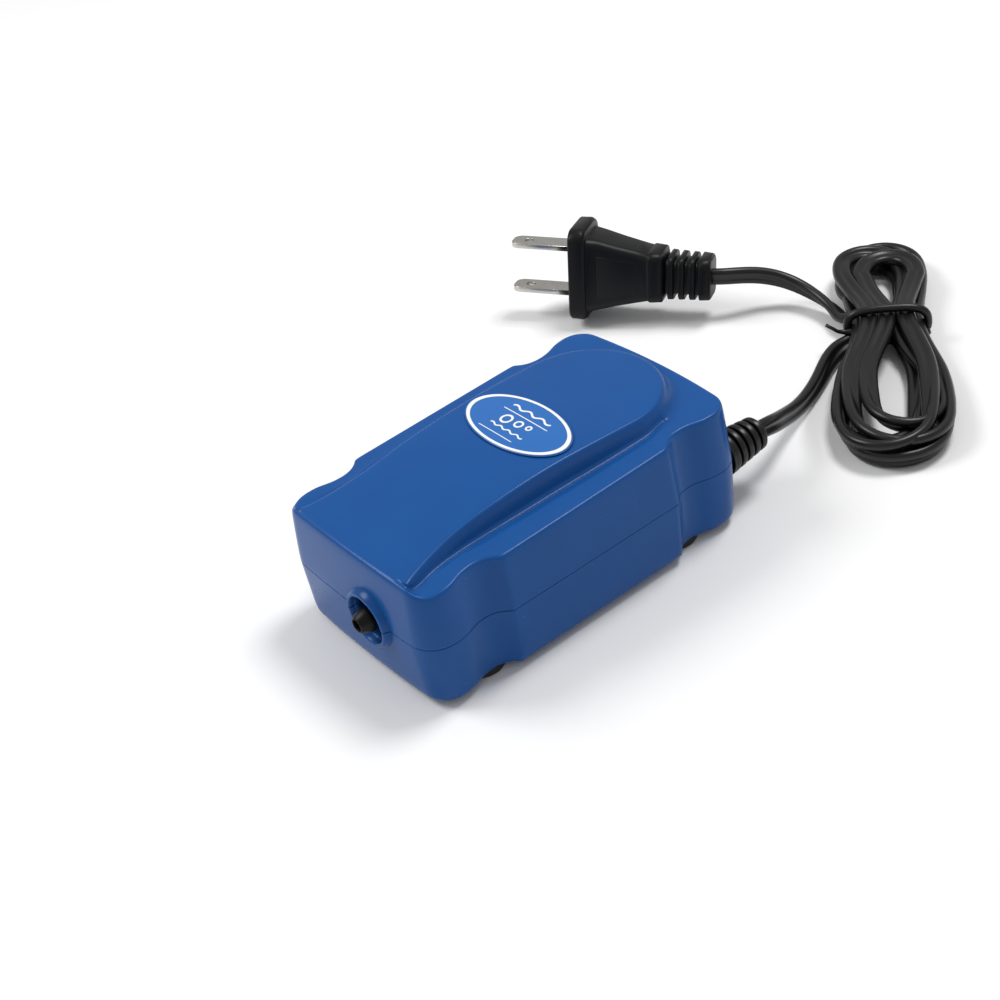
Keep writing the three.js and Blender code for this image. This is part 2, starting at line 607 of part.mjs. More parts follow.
// Rubber spigot that carries the air from the filter pocket up into the chamber
const spigot = bar([FILTER.x, intakeY, pocket.top + 1.2 + GAP], [FILTER.x, intakeY, earZ - GAP],
  2.6, 2.6, 16).subtract(bar([FILTER.x, intakeY, 0], [FILTER.x, intakeY, 20], 1.6, 1.6, 16));

function plateOnChamber(x0, x1, rim) {
  const { y0, y1, half } = CHAMBER;
  const plate = block(x0, x1, y0, y1, AXIS_Z - half, AXIS_Z + half);
  return rim === 0 ? plate : plate.subtract(block(x0 - 1, x1 + 1, y0 + rim, y1 - rim,
    AXIS_Z - half + rim, AXIS_Z + half - rim));
}

// A thin rubber flap hung from its upper edge over a port
function buildFlap(x0, y) {
  return block(x0, x0 + 0.6, y - 2.2, y + 2.2, AXIS_Z - 2.6, AXIS_Z + 2.8);
}

const intakeFlapX = wallX + 2 + GAP;
const outletFlapX = wallX - GAP - 0.6;

add("valve_chamber", buildChamber(), finish.paleNylon);
add("intake_spigot", spigot, finish.rubber);
add("chamber_gasket", plateOnChamber(CHAMBER.x0 - GAP - 0.8, CHAMBER.x0 - GAP, 1.4), finish.rubber);
add("chamber_cover", plateOnChamber(CHAMBER.x0 - 2 * GAP - 2.4, CHAMBER.x0 - 2 * GAP - 0.8, 0),
  finish.paleNylon);
add("intake_flap", buildFlap(intakeFlapX, intakePortY), finish.rubber);
add("outlet_flap", buildFlap(outletFlapX, outletPortY), finish.rubber);
chamberScrews.forEach(([x, y], i) => {
  add(`chamber_screw_${i + 1}`, panHeadScrew(x, y, earZ + 2 + GAP, floorZ + 1.4, true), finish.steel);
});

// ---- Air outlet ---------------------------------------------------------------------------------
const ductY = CHAMBER.y0 - GAP - 2.6;

function buildNozzle() {
  const x = NOZZLE_X;
  const z = AXIS_Z;
  let nozzle = bar([x, ductY, z], [x, NOZZLE_TIP_Y + 1, z], 2.2, 2.2, 20)
    .add(bar([x, NOZZLE_TIP_Y + 3.2, z], [x, NOZZLE_TIP_Y, z], 2.8, 1.9, 20))
    .add(bar([x, NOZZLE_TIP_Y + 6.6, z], [x, NOZZLE_TIP_Y + 3.4, z], 2.8, 2.1, 20))
    .add(bar([x, frontFace + 6.6, z], [x, frontFace + 5, z], 4.6, 4.6, 20));
  nozzle = nozzle.add(block(FILTER.x - 2.6, x + 2.2, ductY - 2.2, ductY + 2.2, z - 2.6, z + 2.6));
  nozzle = nozzle.add(bar([FILTER.x, ductY, z], [FILTER.x, CHAMBER.y0 - GAP, z], 2.4, 2.4, 16));
  return nozzle
    .subtract(bar([x, ductY, z], [x, NOZZLE_TIP_Y - 1, z], NOZZLE_BORE, NOZZLE_BORE, 16))
    .subtract(bar([x, ductY, z], [FILTER.x, ductY, z], NOZZLE_BORE, NOZZLE_BORE, 16))
    .subtract(bar([FILTER.x, ductY, z], [FILTER.x, CHAMBER.y0, z], NOZZLE_BORE, NOZZLE_BORE, 16));
}

add("outlet_nozzle", buildNozzle(), finish.blackPlastic);

// ---- Strain relief and the leads inside the case ------------------------------------------------
function buildStrainRelief() {
  const { x, z, inner, outer, rootRadius, endRadius } = RELIEF;
  const backFace = CASE_LENGTH / 2 + 2 * GAP;
  const neck = rootRadius - 1;
  let relief = bar([x, inner, z], [x, backFace + 1, z], neck, neck, 20)
    .add(bar([x, inner, z], [x, inner + 0.8, z], rootRadius - 0.4, rootRadius - 0.4));
  relief = relief.add(bar([x, backFace, z], [x, outer, z], neck - 0.6, endRadius - 1.2));
  const ribs = 5;
  const pitch = (outer - backFace) / ribs;
  for (let i = 0; i < ribs; i += 1) {
    const y = backFace + i * pitch;
    const radius = rootRadius + ((endRadius - rootRadius) * i) / (ribs - 1);
    relief = relief.add(bar([x, y, z], [x, y + pitch * 0.62, z], radius, radius - 0.2));
  }
  return relief;
}

add("strain_relief", buildStrainRelief(), finish.blackPlastic);

const crimpY = CORE.back - 3;
const crimpZ = bracketTop + 3.4;
[["live", 1], ["neutral", -1]].forEach(([name, side]) => {
  const x = ARM_X + 2 + 2.6 * side;
  add(`lead_${name}`, tube([
    [RELIEF.x - 1.6, RELIEF.inner - 2 * GAP, RELIEF.z + 1.3 * side],
    [RELIEF.x - 3.2, 38, RELIEF.z + 1 + 1.3 * side],
    [x + 0.8, 35.6, bracketTop - 3],
    [x, 35.2, crimpZ - 1.4],
    [x, crimpY + 4.2, crimpZ],
    [x, crimpY + 3, crimpZ],
  ], 0.8, 14), finish.blackPlastic);
  add(`crimp_${name}`, bar([x, crimpY - 2.5, crimpZ], [x, crimpY + 2.5, crimpZ], 1.2, 1.2, 12),
    finish.nickel);
});

// ---- Cord ---------------------------------------------------------------------------------------
// The free stretches; the turns between them are one plain solid with a neck for the tie
const cordToHank = [
  [RELIEF.x, RELIEF.outer + GAP, RELIEF.z],
  [RELIEF.x - 0.1, 60.2, 13.2],
  [16.6, 64.5, 11.2],
  [13.4, 70.5, 8],
  [10.2, 77.5, 5],
  [7.4, 84, 3.4],
  [4.6, 90.5, 2.9],
  [1.8, 96.2, 2.9],
  [-0.8, 101.6, 2.9],
  [-1.8, 106.6, 2.9],
];
const cordToPlug = [
  [-9.6, 115, 3],
  [-14, 118, 3.3],
  [-20.4, 119.7, 4.4],
  [-26.2, 119.6, 5.8],
  [-31, 118, 7.4],
  [-34.6, 114.6, 9.3],
  [-37.2, 110.5, 10.8],
  [-39.2, 106.6, 11.7],
  [-40.8, 104, 12],
  [-42.2, 102.65, 12.2],
];

// Plan of the hank along its own X axis: a narrow waist for the tie, a lobe with a round end on
// each side of it, the one nearer the plug (-X) being the shorter and slimmer
function hankOutline() {
  const waist = HANK_NECK.width / 2;
  const half = HANK_NECK.length / 2;
  const outer = LONG_LOBE.width / 2;
  const inner = SHORT_LOBE.width / 2;
  const outerEnd = LONG_LOBE.reach - outer;
  const innerEnd = SHORT_LOBE.reach - inner;
  const shape = new THREE.Shape();
  shape.moveTo(-half, -waist);
  shape.lineTo(half, -waist);
  shape.bezierCurveTo(half + 8, -waist, half + 12, -outer, outerEnd - 6, -outer);
  shape.absarc(outerEnd, 0, outer, -Math.PI / 2, Math.PI / 2);
  shape.bezierCurveTo(half + 12, outer, half + 8, waist, half, waist);
  shape.lineTo(-half, waist);
  shape.bezierCurveTo(-half - 8, waist, -half - 12, inner, -innerEnd + 6, inner);
  shape.absarc(-innerEnd, 0, inner, Math.PI / 2, 1.5 * Math.PI);
  shape.bezierCurveTo(-half - 12, -inner, -half - 8, -waist, -half, -waist);
  return shape;
}

const hank = new THREE.Group();
hank.position.set(HANK.x, HANK.y, 0);
hank.rotation.z = HANK.angle;
pump.add(hank);

function buildHank() {
  const { length, low, high } = HANK_NECK;
  const solid = raise(hankOutline(), HANK.low, HANK.high);
  const cut = block(-length / 2, length / 2, -20, 20, high, 20)
    .add(block(-length / 2, length / 2, -20, 20, -5, low));
  return solid.subtract(cut);
}

function buildTie() {
  const height = HANK_NECK.high - HANK_NECK.low;
  const ring = roundedRectangle(HANK_NECK.width + 2 * GAP + 3.2, height + 2 * GAP + 3, 2);
  ring.holes.push(roundedRectangle(HANK_NECK.width + 2 * GAP, height + 2 * GAP, 0.6));
  const width = HANK_NECK.length - 2 * GAP;
  const geometry = new THREE.ExtrudeGeometry(ring, { depth: width, bevelEnabled: false,
    curveSegments: 3 });
  geometry.translate(0, 0, -width / 2);
  geometry.rotateX(Math.PI / 2);
  geometry.rotateZ(Math.PI / 2);
  geometry.translate(0, 0, (HANK_NECK.high + HANK_NECK.low) / 2);
  return geometry;
}

add("cord_to_hank", tube(cordToHank, CORD_RADIUS, 14), finish.cordVinyl);
add("cord_hank", buildHank(), finish.cordVinyl, hank);
add("cord_tie", buildTie(), finish.cordVinyl, hank);
add("cord_to_plug", tube(cordToPlug, CORD_RADIUS, 12), finish.cordVinyl);

// ---- Plug ---------------------------------------------------------------------------------------
// Built along its own X axis, from the blade face at x = 0 to the cord, with the blades side by
// side along its Y axis, then turned to lie on the edge of its flange
const plug = new THREE.Group();
const plugAxis = new THREE.Vector3(
  Math.cos(PLUG.heading) * Math.cos(PLUG.dip),
  Math.sin(PLUG.heading) * Math.cos(PLUG.dip),
  -Math.sin(PLUG.dip),
);
const level = new THREE.Vector3(-Math.sin(PLUG.heading), Math.cos(PLUG.heading), 0);
const plugSpread = level.clone().applyAxisAngle(plugAxis, PLUG.roll);
plug.setRotationFromMatrix(new THREE.Matrix4().makeBasis(
  plugAxis,
  plugSpread,
  new THREE.Vector3().crossVectors(plugAxis, plugSpread),
));
plug.position.set(PLUG.x, PLUG.y, PLUG.z);
pump.add(plug);

// A rounded slab across the plug's axis, from x0 to x1
function slab(length, width, radius, x0, x1) {
  const geometry = new THREE.ExtrudeGeometry(roundedRectangle(length, width, radius), {
    depth: x1 - x0,
    bevelEnabled: false,
    curveSegments: 4,
  });
  geometry.applyMatrix4(new THREE.Matrix4().makeBasis(
    new THREE.Vector3(0, 1, 0),
    new THREE.Vector3(0, 0, 1),
    new THREE.Vector3(1, 0, 0),
  ));
  geometry.translate(x0, 0, 0);
  return toSolid(geometry);
}

// A taper seen from one side: half-heights at the flange and at the cord end
function taper(half0, half1, across, upright) {
  const shape = new THREE.Shape([
    new THREE.Vector2(4, -half0),
    new THREE.Vector2(25.5, -half1),
    new THREE.Vector2(25.5, half1),
    new THREE.Vector2(4, half0),
  ]);
  const geometry = new THREE.ExtrudeGeometry(shape, { depth: 2 * across, bevelEnabled: false });
  geometry.translate(0, 0, -across);
  if (upright) geometry.rotateX(Math.PI / 2);
  return toSolid(geometry);
}

function buildPlugBody() {
  let body = slab(FLANGE.length, FLANGE.width, 3.5, 0, FLANGE.depth);
  body = body.add(taper(10.5, 6.8, 12, false).intersect(taper(7, 5.4, 14, true)));
  body = body.add(slab(9, 7, 3, 25, 38));
  for (let i = 0; i < 4; i += 1) {
    const x = 26.6 + i * 2.9;
    body = body.add(slab(12.4 - i * 0.3, 9.8 - i * 0.3, 4, x, x + (i === 3 ? 3.1 : 1.8)));
  }
  return body;
}

function buildBlade() {
  const profile = new THREE.Shape();
  const half = BLADE.width / 2;
  profile.moveTo(-GAP, -half);
  profile.lineTo(-GAP, half);
  profile.lineTo(-BLADE.length + 2, half);
  profile.quadraticCurveTo(-BLADE.length, half, -BLADE.length, 0);
  profile.quadraticCurveTo(-BLADE.length, -half, -BLADE.length + 2, -half);
  const hole = new THREE.Path();
  hole.absarc(-BLADE.length + 4.6, 0, BLADE.hole, 0, 2 * Math.PI);
  profile.holes.push(hole);
  const geometry = new THREE.ExtrudeGeometry(profile, { depth: BLADE.thickness,
    bevelEnabled: false, curveSegments: 6 });
  geometry.translate(0, 0, -BLADE.thickness / 2);
  geometry.rotateX(Math.PI / 2);
  return geometry;
}

add("plug_body", buildPlugBody(), finish.blackPlastic, plug);
[1, -1].forEach((side, i) => {
  const blade = add(`blade_${i + 1}`, buildBlade(), finish.nickel, plug);
  blade.position.y = (side * BLADE.pitch) / 2;
});

export default pump;
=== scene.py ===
# %% [markdown]
# # Aquarium air pump
# A small mains-powered pump that pushes air through a barbed outlet. A two-part blue case, an
# electromagnet that shakes a diaphragm, a ribbed cord boot, a tied flat cord and a two-blade plug.
# The mechanical model arrives first, in metres with +Z up. Each visible piece is then given a
# finished shape in place of, or a finish on top of, the plain solid that it stands for.

# %% Load the mechanical model
import json
import math

import bmesh
import bpy
import numpy as np
from mathutils import Matrix, Vector


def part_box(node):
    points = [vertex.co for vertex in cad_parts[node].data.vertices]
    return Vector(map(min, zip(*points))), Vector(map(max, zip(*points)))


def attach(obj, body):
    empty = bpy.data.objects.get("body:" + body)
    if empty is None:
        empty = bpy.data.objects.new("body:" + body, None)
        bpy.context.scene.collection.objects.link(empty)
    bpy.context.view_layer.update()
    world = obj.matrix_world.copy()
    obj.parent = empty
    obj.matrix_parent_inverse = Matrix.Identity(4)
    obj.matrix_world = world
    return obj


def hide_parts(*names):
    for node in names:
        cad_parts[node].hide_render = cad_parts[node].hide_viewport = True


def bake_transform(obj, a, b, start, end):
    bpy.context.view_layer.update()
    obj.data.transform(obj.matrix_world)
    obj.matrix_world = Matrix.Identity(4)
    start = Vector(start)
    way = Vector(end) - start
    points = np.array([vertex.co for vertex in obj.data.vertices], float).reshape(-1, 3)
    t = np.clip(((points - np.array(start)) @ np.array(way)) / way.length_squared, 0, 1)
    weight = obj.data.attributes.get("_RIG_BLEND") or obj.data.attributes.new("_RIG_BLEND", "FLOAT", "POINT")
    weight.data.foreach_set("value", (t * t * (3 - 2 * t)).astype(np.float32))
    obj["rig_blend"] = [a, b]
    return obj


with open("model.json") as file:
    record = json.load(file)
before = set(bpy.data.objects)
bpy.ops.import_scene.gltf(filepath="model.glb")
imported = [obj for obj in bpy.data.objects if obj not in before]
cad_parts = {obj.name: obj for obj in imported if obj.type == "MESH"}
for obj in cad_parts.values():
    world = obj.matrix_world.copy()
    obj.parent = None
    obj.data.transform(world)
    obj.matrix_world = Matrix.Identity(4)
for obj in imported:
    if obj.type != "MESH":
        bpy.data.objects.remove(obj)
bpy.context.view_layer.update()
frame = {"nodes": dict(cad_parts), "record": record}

nodes = frame["nodes"]

# %% [markdown]
# ## Units and small helpers
# Sizes are easiest to read in millimetres from the middle of the case. The part's origin is 1.5 mm
# away from that point, midway between the nozzle tip and the back of the case, so one helper turns
# case millimetres into metres in the part's frame.

# %% Units
MM = 0.001
CASE_TO_PART = Vector((0, 1.5, 0))


def part(point):
    return (Vector(point) + CASE_TO_PART) * MM


def smoothstep(value):
    value = min(max(value, 0.0), 1.0)
    return value * value * (3 - 2 * value)


# %% Helpers that make, place and finish a mesh
def new_mesh(name, points, faces):
    mesh = bpy.data.meshes.new(name)
    mesh.from_pydata([tuple(part(p)) for p in points], [], faces)
    bm = bmesh.new()
    bm.from_mesh(mesh)
    bmesh.ops.recalc_face_normals(bm, faces=bm.faces)
    bm.to_mesh(mesh)
    bm.free()
    return add_object(name, mesh)


def add_object(name, data):
    obj = bpy.data.objects.new(name, data)
    bpy.context.scene.collection.objects.link(obj)
    return obj


def face_outwards(mesh):
    bm = bmesh.new()
    bm.from_mesh(mesh)
    bmesh.ops.remove_doubles(bm, verts=bm.verts, dist=1e-6)
    bmesh.ops.recalc_face_normals(bm, faces=bm.faces)
    bm.to_mesh(mesh)
    bm.free()


def apply_stack(obj):
    bpy.context.view_layer.update()
    depsgraph = bpy.context.evaluated_depsgraph_get()
    mesh = bpy.data.meshes.new_from_object(obj.evaluated_get(depsgraph))
    old = obj.data
    was_mesh = obj.type == "MESH"
    name = obj.name
    if was_mesh:
        obj.modifiers.clear()
        obj.data = mesh
        return obj
    bpy.data.objects.remove(obj)
    bpy.data.curves.remove(old)
    return add_object(name, mesh)


def place(obj, matrix):
    obj.data.transform(matrix)
    obj.data.update()
    return obj


def drop(obj):
    mesh = obj.data
    bpy.data.objects.remove(obj)
    if mesh.users == 0:
        bpy.data.meshes.remove(mesh)


def shade(obj):
    for polygon in obj.data.polygons:
        polygon.use_smooth = True
    return obj


def join(main, extra):
    bm = bmesh.new()
    bm.from_mesh(main.data)
    bm.from_mesh(extra.data)
    bm.to_mesh(main.data)
    bm.free()
    drop(extra)
    return main


def settle(obj, material, slot, *replaced, body="case"):
    obj.data.materials.clear()
    obj.data.materials.append(material)
    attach(obj, body)
    if replaced:
        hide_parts(*replaced)
    print(obj.name, "on", body, "stands for", replaced or "nothing in the CAD model")
    return obj


# %% [markdown]
# ## Camera
# A product view from the right of the outlet end, looking down at the lid. The camera leans over a
# little, as a hand-held one does.

# %% Camera
AZIMUTH, ELEVATION, LEAN = (math.radians(a) for a in (57.91, 36.13, -11.01))
CAMERA_PLACE = part((270.8, -174.0, 254.2))

backward = Vector((
    math.sin(AZIMUTH) * math.cos(ELEVATION),
    -math.cos(AZIMUTH) * math.cos(ELEVATION),
    math.sin(ELEVATION),
))
level_right = Vector((0, 0, 1)).cross(backward).normalized()
level_up = backward.cross(level_right)
right = math.cos(LEAN) * level_right + math.sin(LEAN) * level_up
up = math.cos(LEAN) * level_up - math.sin(LEAN) * level_right

camera_data = bpy.data.cameras.new("camera")
camera_data.sensor_width = 36
camera_data.lens = 64.04
camera_data.clip_start = 0.01
camera = bpy.data.objects.new("camera", camera_data)
bpy.context.scene.collection.objects.link(camera)
turned_axes = Matrix((right, up, backward)).transposed().to_4x4()
camera.matrix_world = Matrix.Translation(CAMERA_PLACE) @ turned_axes
bpy.context.scene.camera = camera
print("camera", [round(v, 4) for v in camera.location], "lens", camera_data.lens)

# %% [markdown]
# ## Procedural finishes
# Moulded plastic is never one flat colour: it has a faint mottle, a fine texture from the mould and
# small changes in gloss. One recipe, fed with different numbers, gives all the plastics, rubbers and
# metals. The patterns are read from Object coordinates, in metres, so a scale of 1000 is one
# millimetre, and they stay on the piece when it moves.

# %% Recipe for a moulded or metal finish
def finish(name, colour, roughness, metallic=0.0, mottle=0.06, mottle_scale=90, grain_scale=1400,
           grain=0.00002, gloss_change=0.08, stretch=(1, 1, 1), specular=0.5):
    material = bpy.data.materials.new(name)
    material.use_nodes = True
    tree = material.node_tree
    shader = tree.nodes["Principled BSDF"]
    shader.inputs["Metallic"].default_value = metallic
    shader.inputs["Specular IOR Level"].default_value = specular
    coordinates = tree.nodes.new("ShaderNodeTexCoord")
    mapping = tree.nodes.new("ShaderNodeMapping")
    mapping.inputs["Scale"].default_value = stretch
    tree.links.new(coordinates.outputs["Object"], mapping.inputs["Vector"])

    def noise(scale, detail):
        node = tree.nodes.new("ShaderNodeTexNoise")
        node.inputs["Scale"].default_value = scale
        node.inputs["Detail"].default_value = detail
        tree.links.new(mapping.outputs["Vector"], node.inputs["Vector"])
        return node

    cloud = noise(mottle_scale, 4)
    ramp = tree.nodes.new("ShaderNodeValToRGB")
    ramp.color_ramp.elements[0].position = 0.3
    ramp.color_ramp.elements[1].position = 0.7
    ramp.color_ramp.elements[0].color = [c * (1 - mottle) for c in colour] + [1]
    ramp.color_ramp.elements[1].color = [min(1, c * (1 + mottle)) for c in colour] + [1]
    tree.links.new(cloud.outputs["Fac"], ramp.inputs["Fac"])
    tree.links.new(ramp.outputs["Color"], shader.inputs["Base Color"])

    polish = noise(mottle_scale * 3, 3)
    span = tree.nodes.new("ShaderNodeMapRange")
    span.inputs["To Min"].default_value = max(0.02, roughness - gloss_change)
    span.inputs["To Max"].default_value = min(1, roughness + gloss_change)
    tree.links.new(polish.outputs["Fac"], span.inputs["Value"])
    tree.links.new(span.outputs["Result"], shader.inputs["Roughness"])

    texture = noise(grain_scale, 5)
    bump = tree.nodes.new("ShaderNodeBump")
    bump.inputs["Strength"].default_value = 0.5
    bump.inputs["Distance"].default_value = grain
    tree.links.new(texture.outputs["Fac"], bump.inputs["Height"])
    tree.links.new(bump.outputs["Normal"], shader.inputs["Normal"])
    return material


# %% Finishes of this pump
CASE_BLUE = (0.008, 0.074, 0.27)
looks = {
    "case": finish("case_blue_abs", CASE_BLUE, 0.26, mottle=0.03, grain=0.000003, gloss_change=0.03,
                   specular=0.17),
    "badge": finish("badge_film", (0.014, 0.125, 0.42), 0.3, mottle=0.03, grain=0.000003),
    "rubber": finish("moulded_rubber", (0.013, 0.013, 0.014), 0.62, grain=0.00003, specular=0.35),
    "black_plastic": finish("black_plastic", (0.003, 0.0033, 0.004), 0.4, grain=0.000006,
                            gloss_change=0.04, specular=0.2),
    "cord_vinyl": finish("cord_vinyl", (0.004, 0.004, 0.0045), 0.34, mottle=0.15,
                         grain=0.000006, gloss_change=0.04, specular=0.4),
    "steel": finish("zinc_steel", (0.42, 0.43, 0.44), 0.35, metallic=1, grain=0.000008),
    "nickel": finish("nickel_blade", (0.55, 0.53, 0.49), 0.3, metallic=1, mottle=0.08,
                     grain=0.00001, gloss_change=0.1, stretch=(1, 3, 3)),
    "lamination": finish("core_sheets", (0.12, 0.13, 0.14), 0.5, metallic=1, mottle=0.3,
                         mottle_scale=300, grain=0.00006, stretch=(1, 1, 8)),
    "copper": finish("copper_wire", (0.55, 0.2, 0.07), 0.3, metallic=1, mottle=0.3,
                     mottle_scale=400, grain=0.00008, stretch=(0.3, 6, 0.3)),
    "pale_nylon": finish("pale_nylon", (0.68, 0.65, 0.57), 0.5, mottle=0.04, grain=0.00002),
    "felt": finish("pressed_felt", (0.6, 0.6, 0.56), 0.95, mottle=0.15, mottle_scale=600,
                   grain=0.0002, grain_scale=2500, specular=0.1),
    "ferrite": finish("ferrite", (0.02, 0.02, 0.022), 0.7, metallic=0.2, mottle=0.2,
                      grain=0.00005),
    "print": finish("white_print", (0.85, 0.87, 0.88), 0.4, mottle=0.02, grain=0.000004),
}
for entry in frame["record"]["subparts"]:
    piece = nodes[entry["node"]]
    piece.data.materials.clear()
    piece.data.materials.append(looks[entry["material_slot"]])
print("finishes", len(looks))

# %% [markdown]
# ## The cord: its route
# A flat twin cord leaves the boot, comes down to the table, and is folded into a hank that a thin
# tie holds at the waist. The last stretch leaves the hank and climbs to the plug, which lies on its
# flange. Only the hank's folds are made by a loop: every pass through the waist has its own slot in
# one of three layers, and every fold has its own length, width and turn, so the folds fan out.

# %% The loose stretches, in case millimetres
BOOT_TO_HANK = [
    (18.2, 54, 13.5), (18.2, 57.5, 13.5), (18.1, 60.2, 13.2), (16.6, 64.5, 11.2),
    (13.4, 70.5, 8), (10.2, 77.5, 5), (7.4, 84, 3.4), (4.6, 90.5, 2.9), (1.6, 96.5, 2.9),
    (-1.2, 102.3, 2.9), (-2.6, 108.5, 2.9),
]
HANK_TO_PLUG = [
    (-9.6, 116.0, 4.0), (-14, 118.6, 3.6), (-20.4, 119.9, 4.5), (-26.2, 119.6, 5.8),
    (-31, 118, 7.4), (-34.6, 114.6, 9.3), (-37.2, 110.5, 10.8), (-39.2, 106.6, 11.7),
    (-40.8, 104, 12.1), (-42.5, 102.4, 12.2), (-45.4, 100.4, 12.35),
]

# %% Places in the hank, along and across its own axis
HANK_MIDDLE = (2.5, 119.5)
HANK_TURN = -math.pi / 4
LAYER = {1: 3.9, 2: 6.1, 3: 8.3}
LAYER_IN_FOLD = {1: 2.75, 2: 4.7, 3: 6.8}
WAIST = [(-6.6, 1), (6.6, 1), (-2.2, 1), (2.2, 1), (-2.2, 2), (6.6, 2), (-4.4, 3), (2.2, 2),
         (0, 3), (4.4, 3), (-6.6, 2)]
FOLDS = [
    (-38.5, 8.8, 0), (55, 12, -1), (-35, 7.6, 6), (50, 9.0, -7), (-39.5, 9.0, -1), (53, 11, 1),
    (-37.5, 8.2, 5), (46, 8.0, 3), (-33, 7.2, -4), (54.5, 10.4, -4),
]


def from_hank(along, across, z, turn=0.0):
    angle = HANK_TURN + math.radians(turn) * smoothstep((abs(along) - 4) / 20)
    x = along * math.cos(angle) - across * math.sin(angle)
    y = along * math.sin(angle) + across * math.cos(angle)
    return (HANK_MIDDLE[0] + x, HANK_MIDDLE[1] + y, z)


def fold(start, end, reach, half_width, turn):
    way = math.copysign(1, reach)
    tip = abs(reach)
    side = math.copysign(1, start[0]) if start[0] else -math.copysign(1, end[0] or 1)
    z0, z1 = LAYER_IN_FOLD[start[1]], LAYER_IN_FOLD[end[1]]
    steps = [(8, 0.25), (15, 0.62), (23, 0.93), (tip - half_width * 1.5, 1.0)]
    points = []
    for along, share in steps:
        across = start[0] + (side * half_width - start[0]) * share
        z = LAYER[start[1]] + (z0 - LAYER[start[1]]) * min(1, along / 16)
        points.append(from_hank(way * along, across, z, turn))
    middle = tip - half_width * 1.15
    for i in range(1, 8):
        angle = math.pi / 2 - math.pi * i / 8
        along = middle + half_width * 1.15 * math.cos(angle)
        z = z0 + (z1 - z0) * i / 8
        points.append(from_hank(way * along, side * half_width * math.sin(angle), z, turn))
    for along, share in reversed(steps):
        across = end[0] + (-side * half_width - end[0]) * share
        z = LAYER[end[1]] + (z1 - LAYER[end[1]]) * min(1, along / 16)
        points.append(from_hank(way * along, across, z, turn))
    return points


route = list(BOOT_TO_HANK)
route += [from_hank(3.0, -8.4, 2.9), from_hank(0, WAIST[0][0], LAYER[1])]
for number, (reach, half_width, turn) in enumerate(FOLDS):
    start, end = WAIST[number], WAIST[number + 1]
    route += fold(start, end, reach, half_width, turn)
    route.append(from_hank(0, end[0], LAYER[end[1]]))
route += [from_hank(-6.5, -8.6, 5.2)]
route += HANK_TO_PLUG
print("route points", len(route))

# %% [markdown]
# ## The cord: its shape
# The cross-section is two round cores that share a thin web, 5 mm wide and 2.6 mm thick. A curve
# carries it along the route, with the wide side level where the cord lies flat and turned on edge
# where a fold goes round its tip, as a flat cord has to.

# %% Smooth line through the route
def smooth_line(points, spacing):
    points = [Vector(p) for p in points]
    points = [2 * points[0] - points[1]] + points + [2 * points[-1] - points[-2]]
    line = []
    for a, b, c, d in zip(points, points[1:], points[2:], points[3:]):
        count = max(2, round((c - b).length / spacing))
        for i in range(count):
            t = i / count
            line.append(0.5 * (2 * b + (c - a) * t + (2 * a - 5 * b + 4 * c - d) * t**2
                               + (3 * b - a - 3 * c + d) * t**3))
    return line + [points[-2]]


def evened(line, rounds):
    for _ in range(rounds):
        inner = [(a + 2 * b + c) / 4 for a, b, c in zip(line, line[1:], line[2:])]
        line = [line[0]] + inner + [line[-1]]
    return line


line = evened(smooth_line(route, 1.4), 6)
length = sum((b - a).length for a, b in zip(line, line[1:]))
lowest = round(min(p.z for p in line), 2)
print("cord length mm", round(length, 1), "points", len(line), "lowest", lowest)

# %% How far the cord is turned on edge at each point
hank_middle = Vector((*HANK_MIDDLE, 0))
hank_axis = Vector((math.cos(HANK_TURN), math.sin(HANK_TURN), 0))


def on_edge(point, share):
    away = abs((Vector((point.x, point.y, 0)) - hank_middle).dot(hank_axis))
    if share < 0.1:
        return math.radians(90) * (1 - smoothstep((share - 0.02) / 0.06))
    if share > 0.93:
        return math.radians(80) * smoothstep((share - 0.945) / 0.035)
    return math.radians(68) * smoothstep((away - 26) / 20)


# %% Flat twin cord
CORD_WIDTH, CORD_THICKNESS = 5.0, 2.6


def cord_section():
    core = CORD_THICKNESS / 2
    centre = CORD_WIDTH / 2 - core
    waist = 0.62 * core
    outline = []
    for side in (1, -1):
        for i in range(9):
            angle = math.radians((-118 if side > 0 else 62) + 236 * i / 8)
            outline.append((side * centre + core * math.cos(angle), core * math.sin(angle)))
        outline.append((0, waist if side > 0 else -waist))
    data = bpy.data.curves.new("cord_section", "CURVE")
    spline = data.splines.new("POLY")
    spline.points.add(len(outline) - 1)
    for point, (x, y) in zip(spline.points, outline):
        point.co = (x * MM, y * MM, 0, 1)
    spline.use_cyclic_u = True
    return add_object("cord_section", data)


def averaged(values, reach):
    spans = [values[max(0, i - reach):i + reach + 1] for i in range(len(values))]
    return [sum(span) / len(span) for span in spans]


section = cord_section()
cord_curve = bpy.data.curves.new("mains_cord", "CURVE")
cord_curve.dimensions = "3D"
cord_curve.twist_mode = "Z_UP"
cord_curve.bevel_mode = "OBJECT"
cord_curve.bevel_object = section
cord_curve.use_fill_caps = True
spline = cord_curve.splines.new("POLY")
spline.points.add(len(line) - 1)
tilts = averaged([on_edge(p, i / (len(line) - 1)) for i, p in enumerate(line)], 6)
for point, place_mm, tilt in zip(spline.points, line, tilts):
    point.co = (*part(place_mm), 1)
    point.tilt = tilt
mains_cord = apply_stack(add_object("mains_cord", cord_curve))
section_data = section.data
bpy.data.objects.remove(section)
bpy.data.curves.remove(section_data)
face_outwards(mains_cord.data)
shade(mains_cord)
settle(mains_cord, looks["cord_vinyl"], "cord_vinyl", "cord_to_hank", "cord_hank", "cord_to_plug")
print("cord triangles", sum(len(p.vertices) - 2 for p in mains_cord.data.polygons))

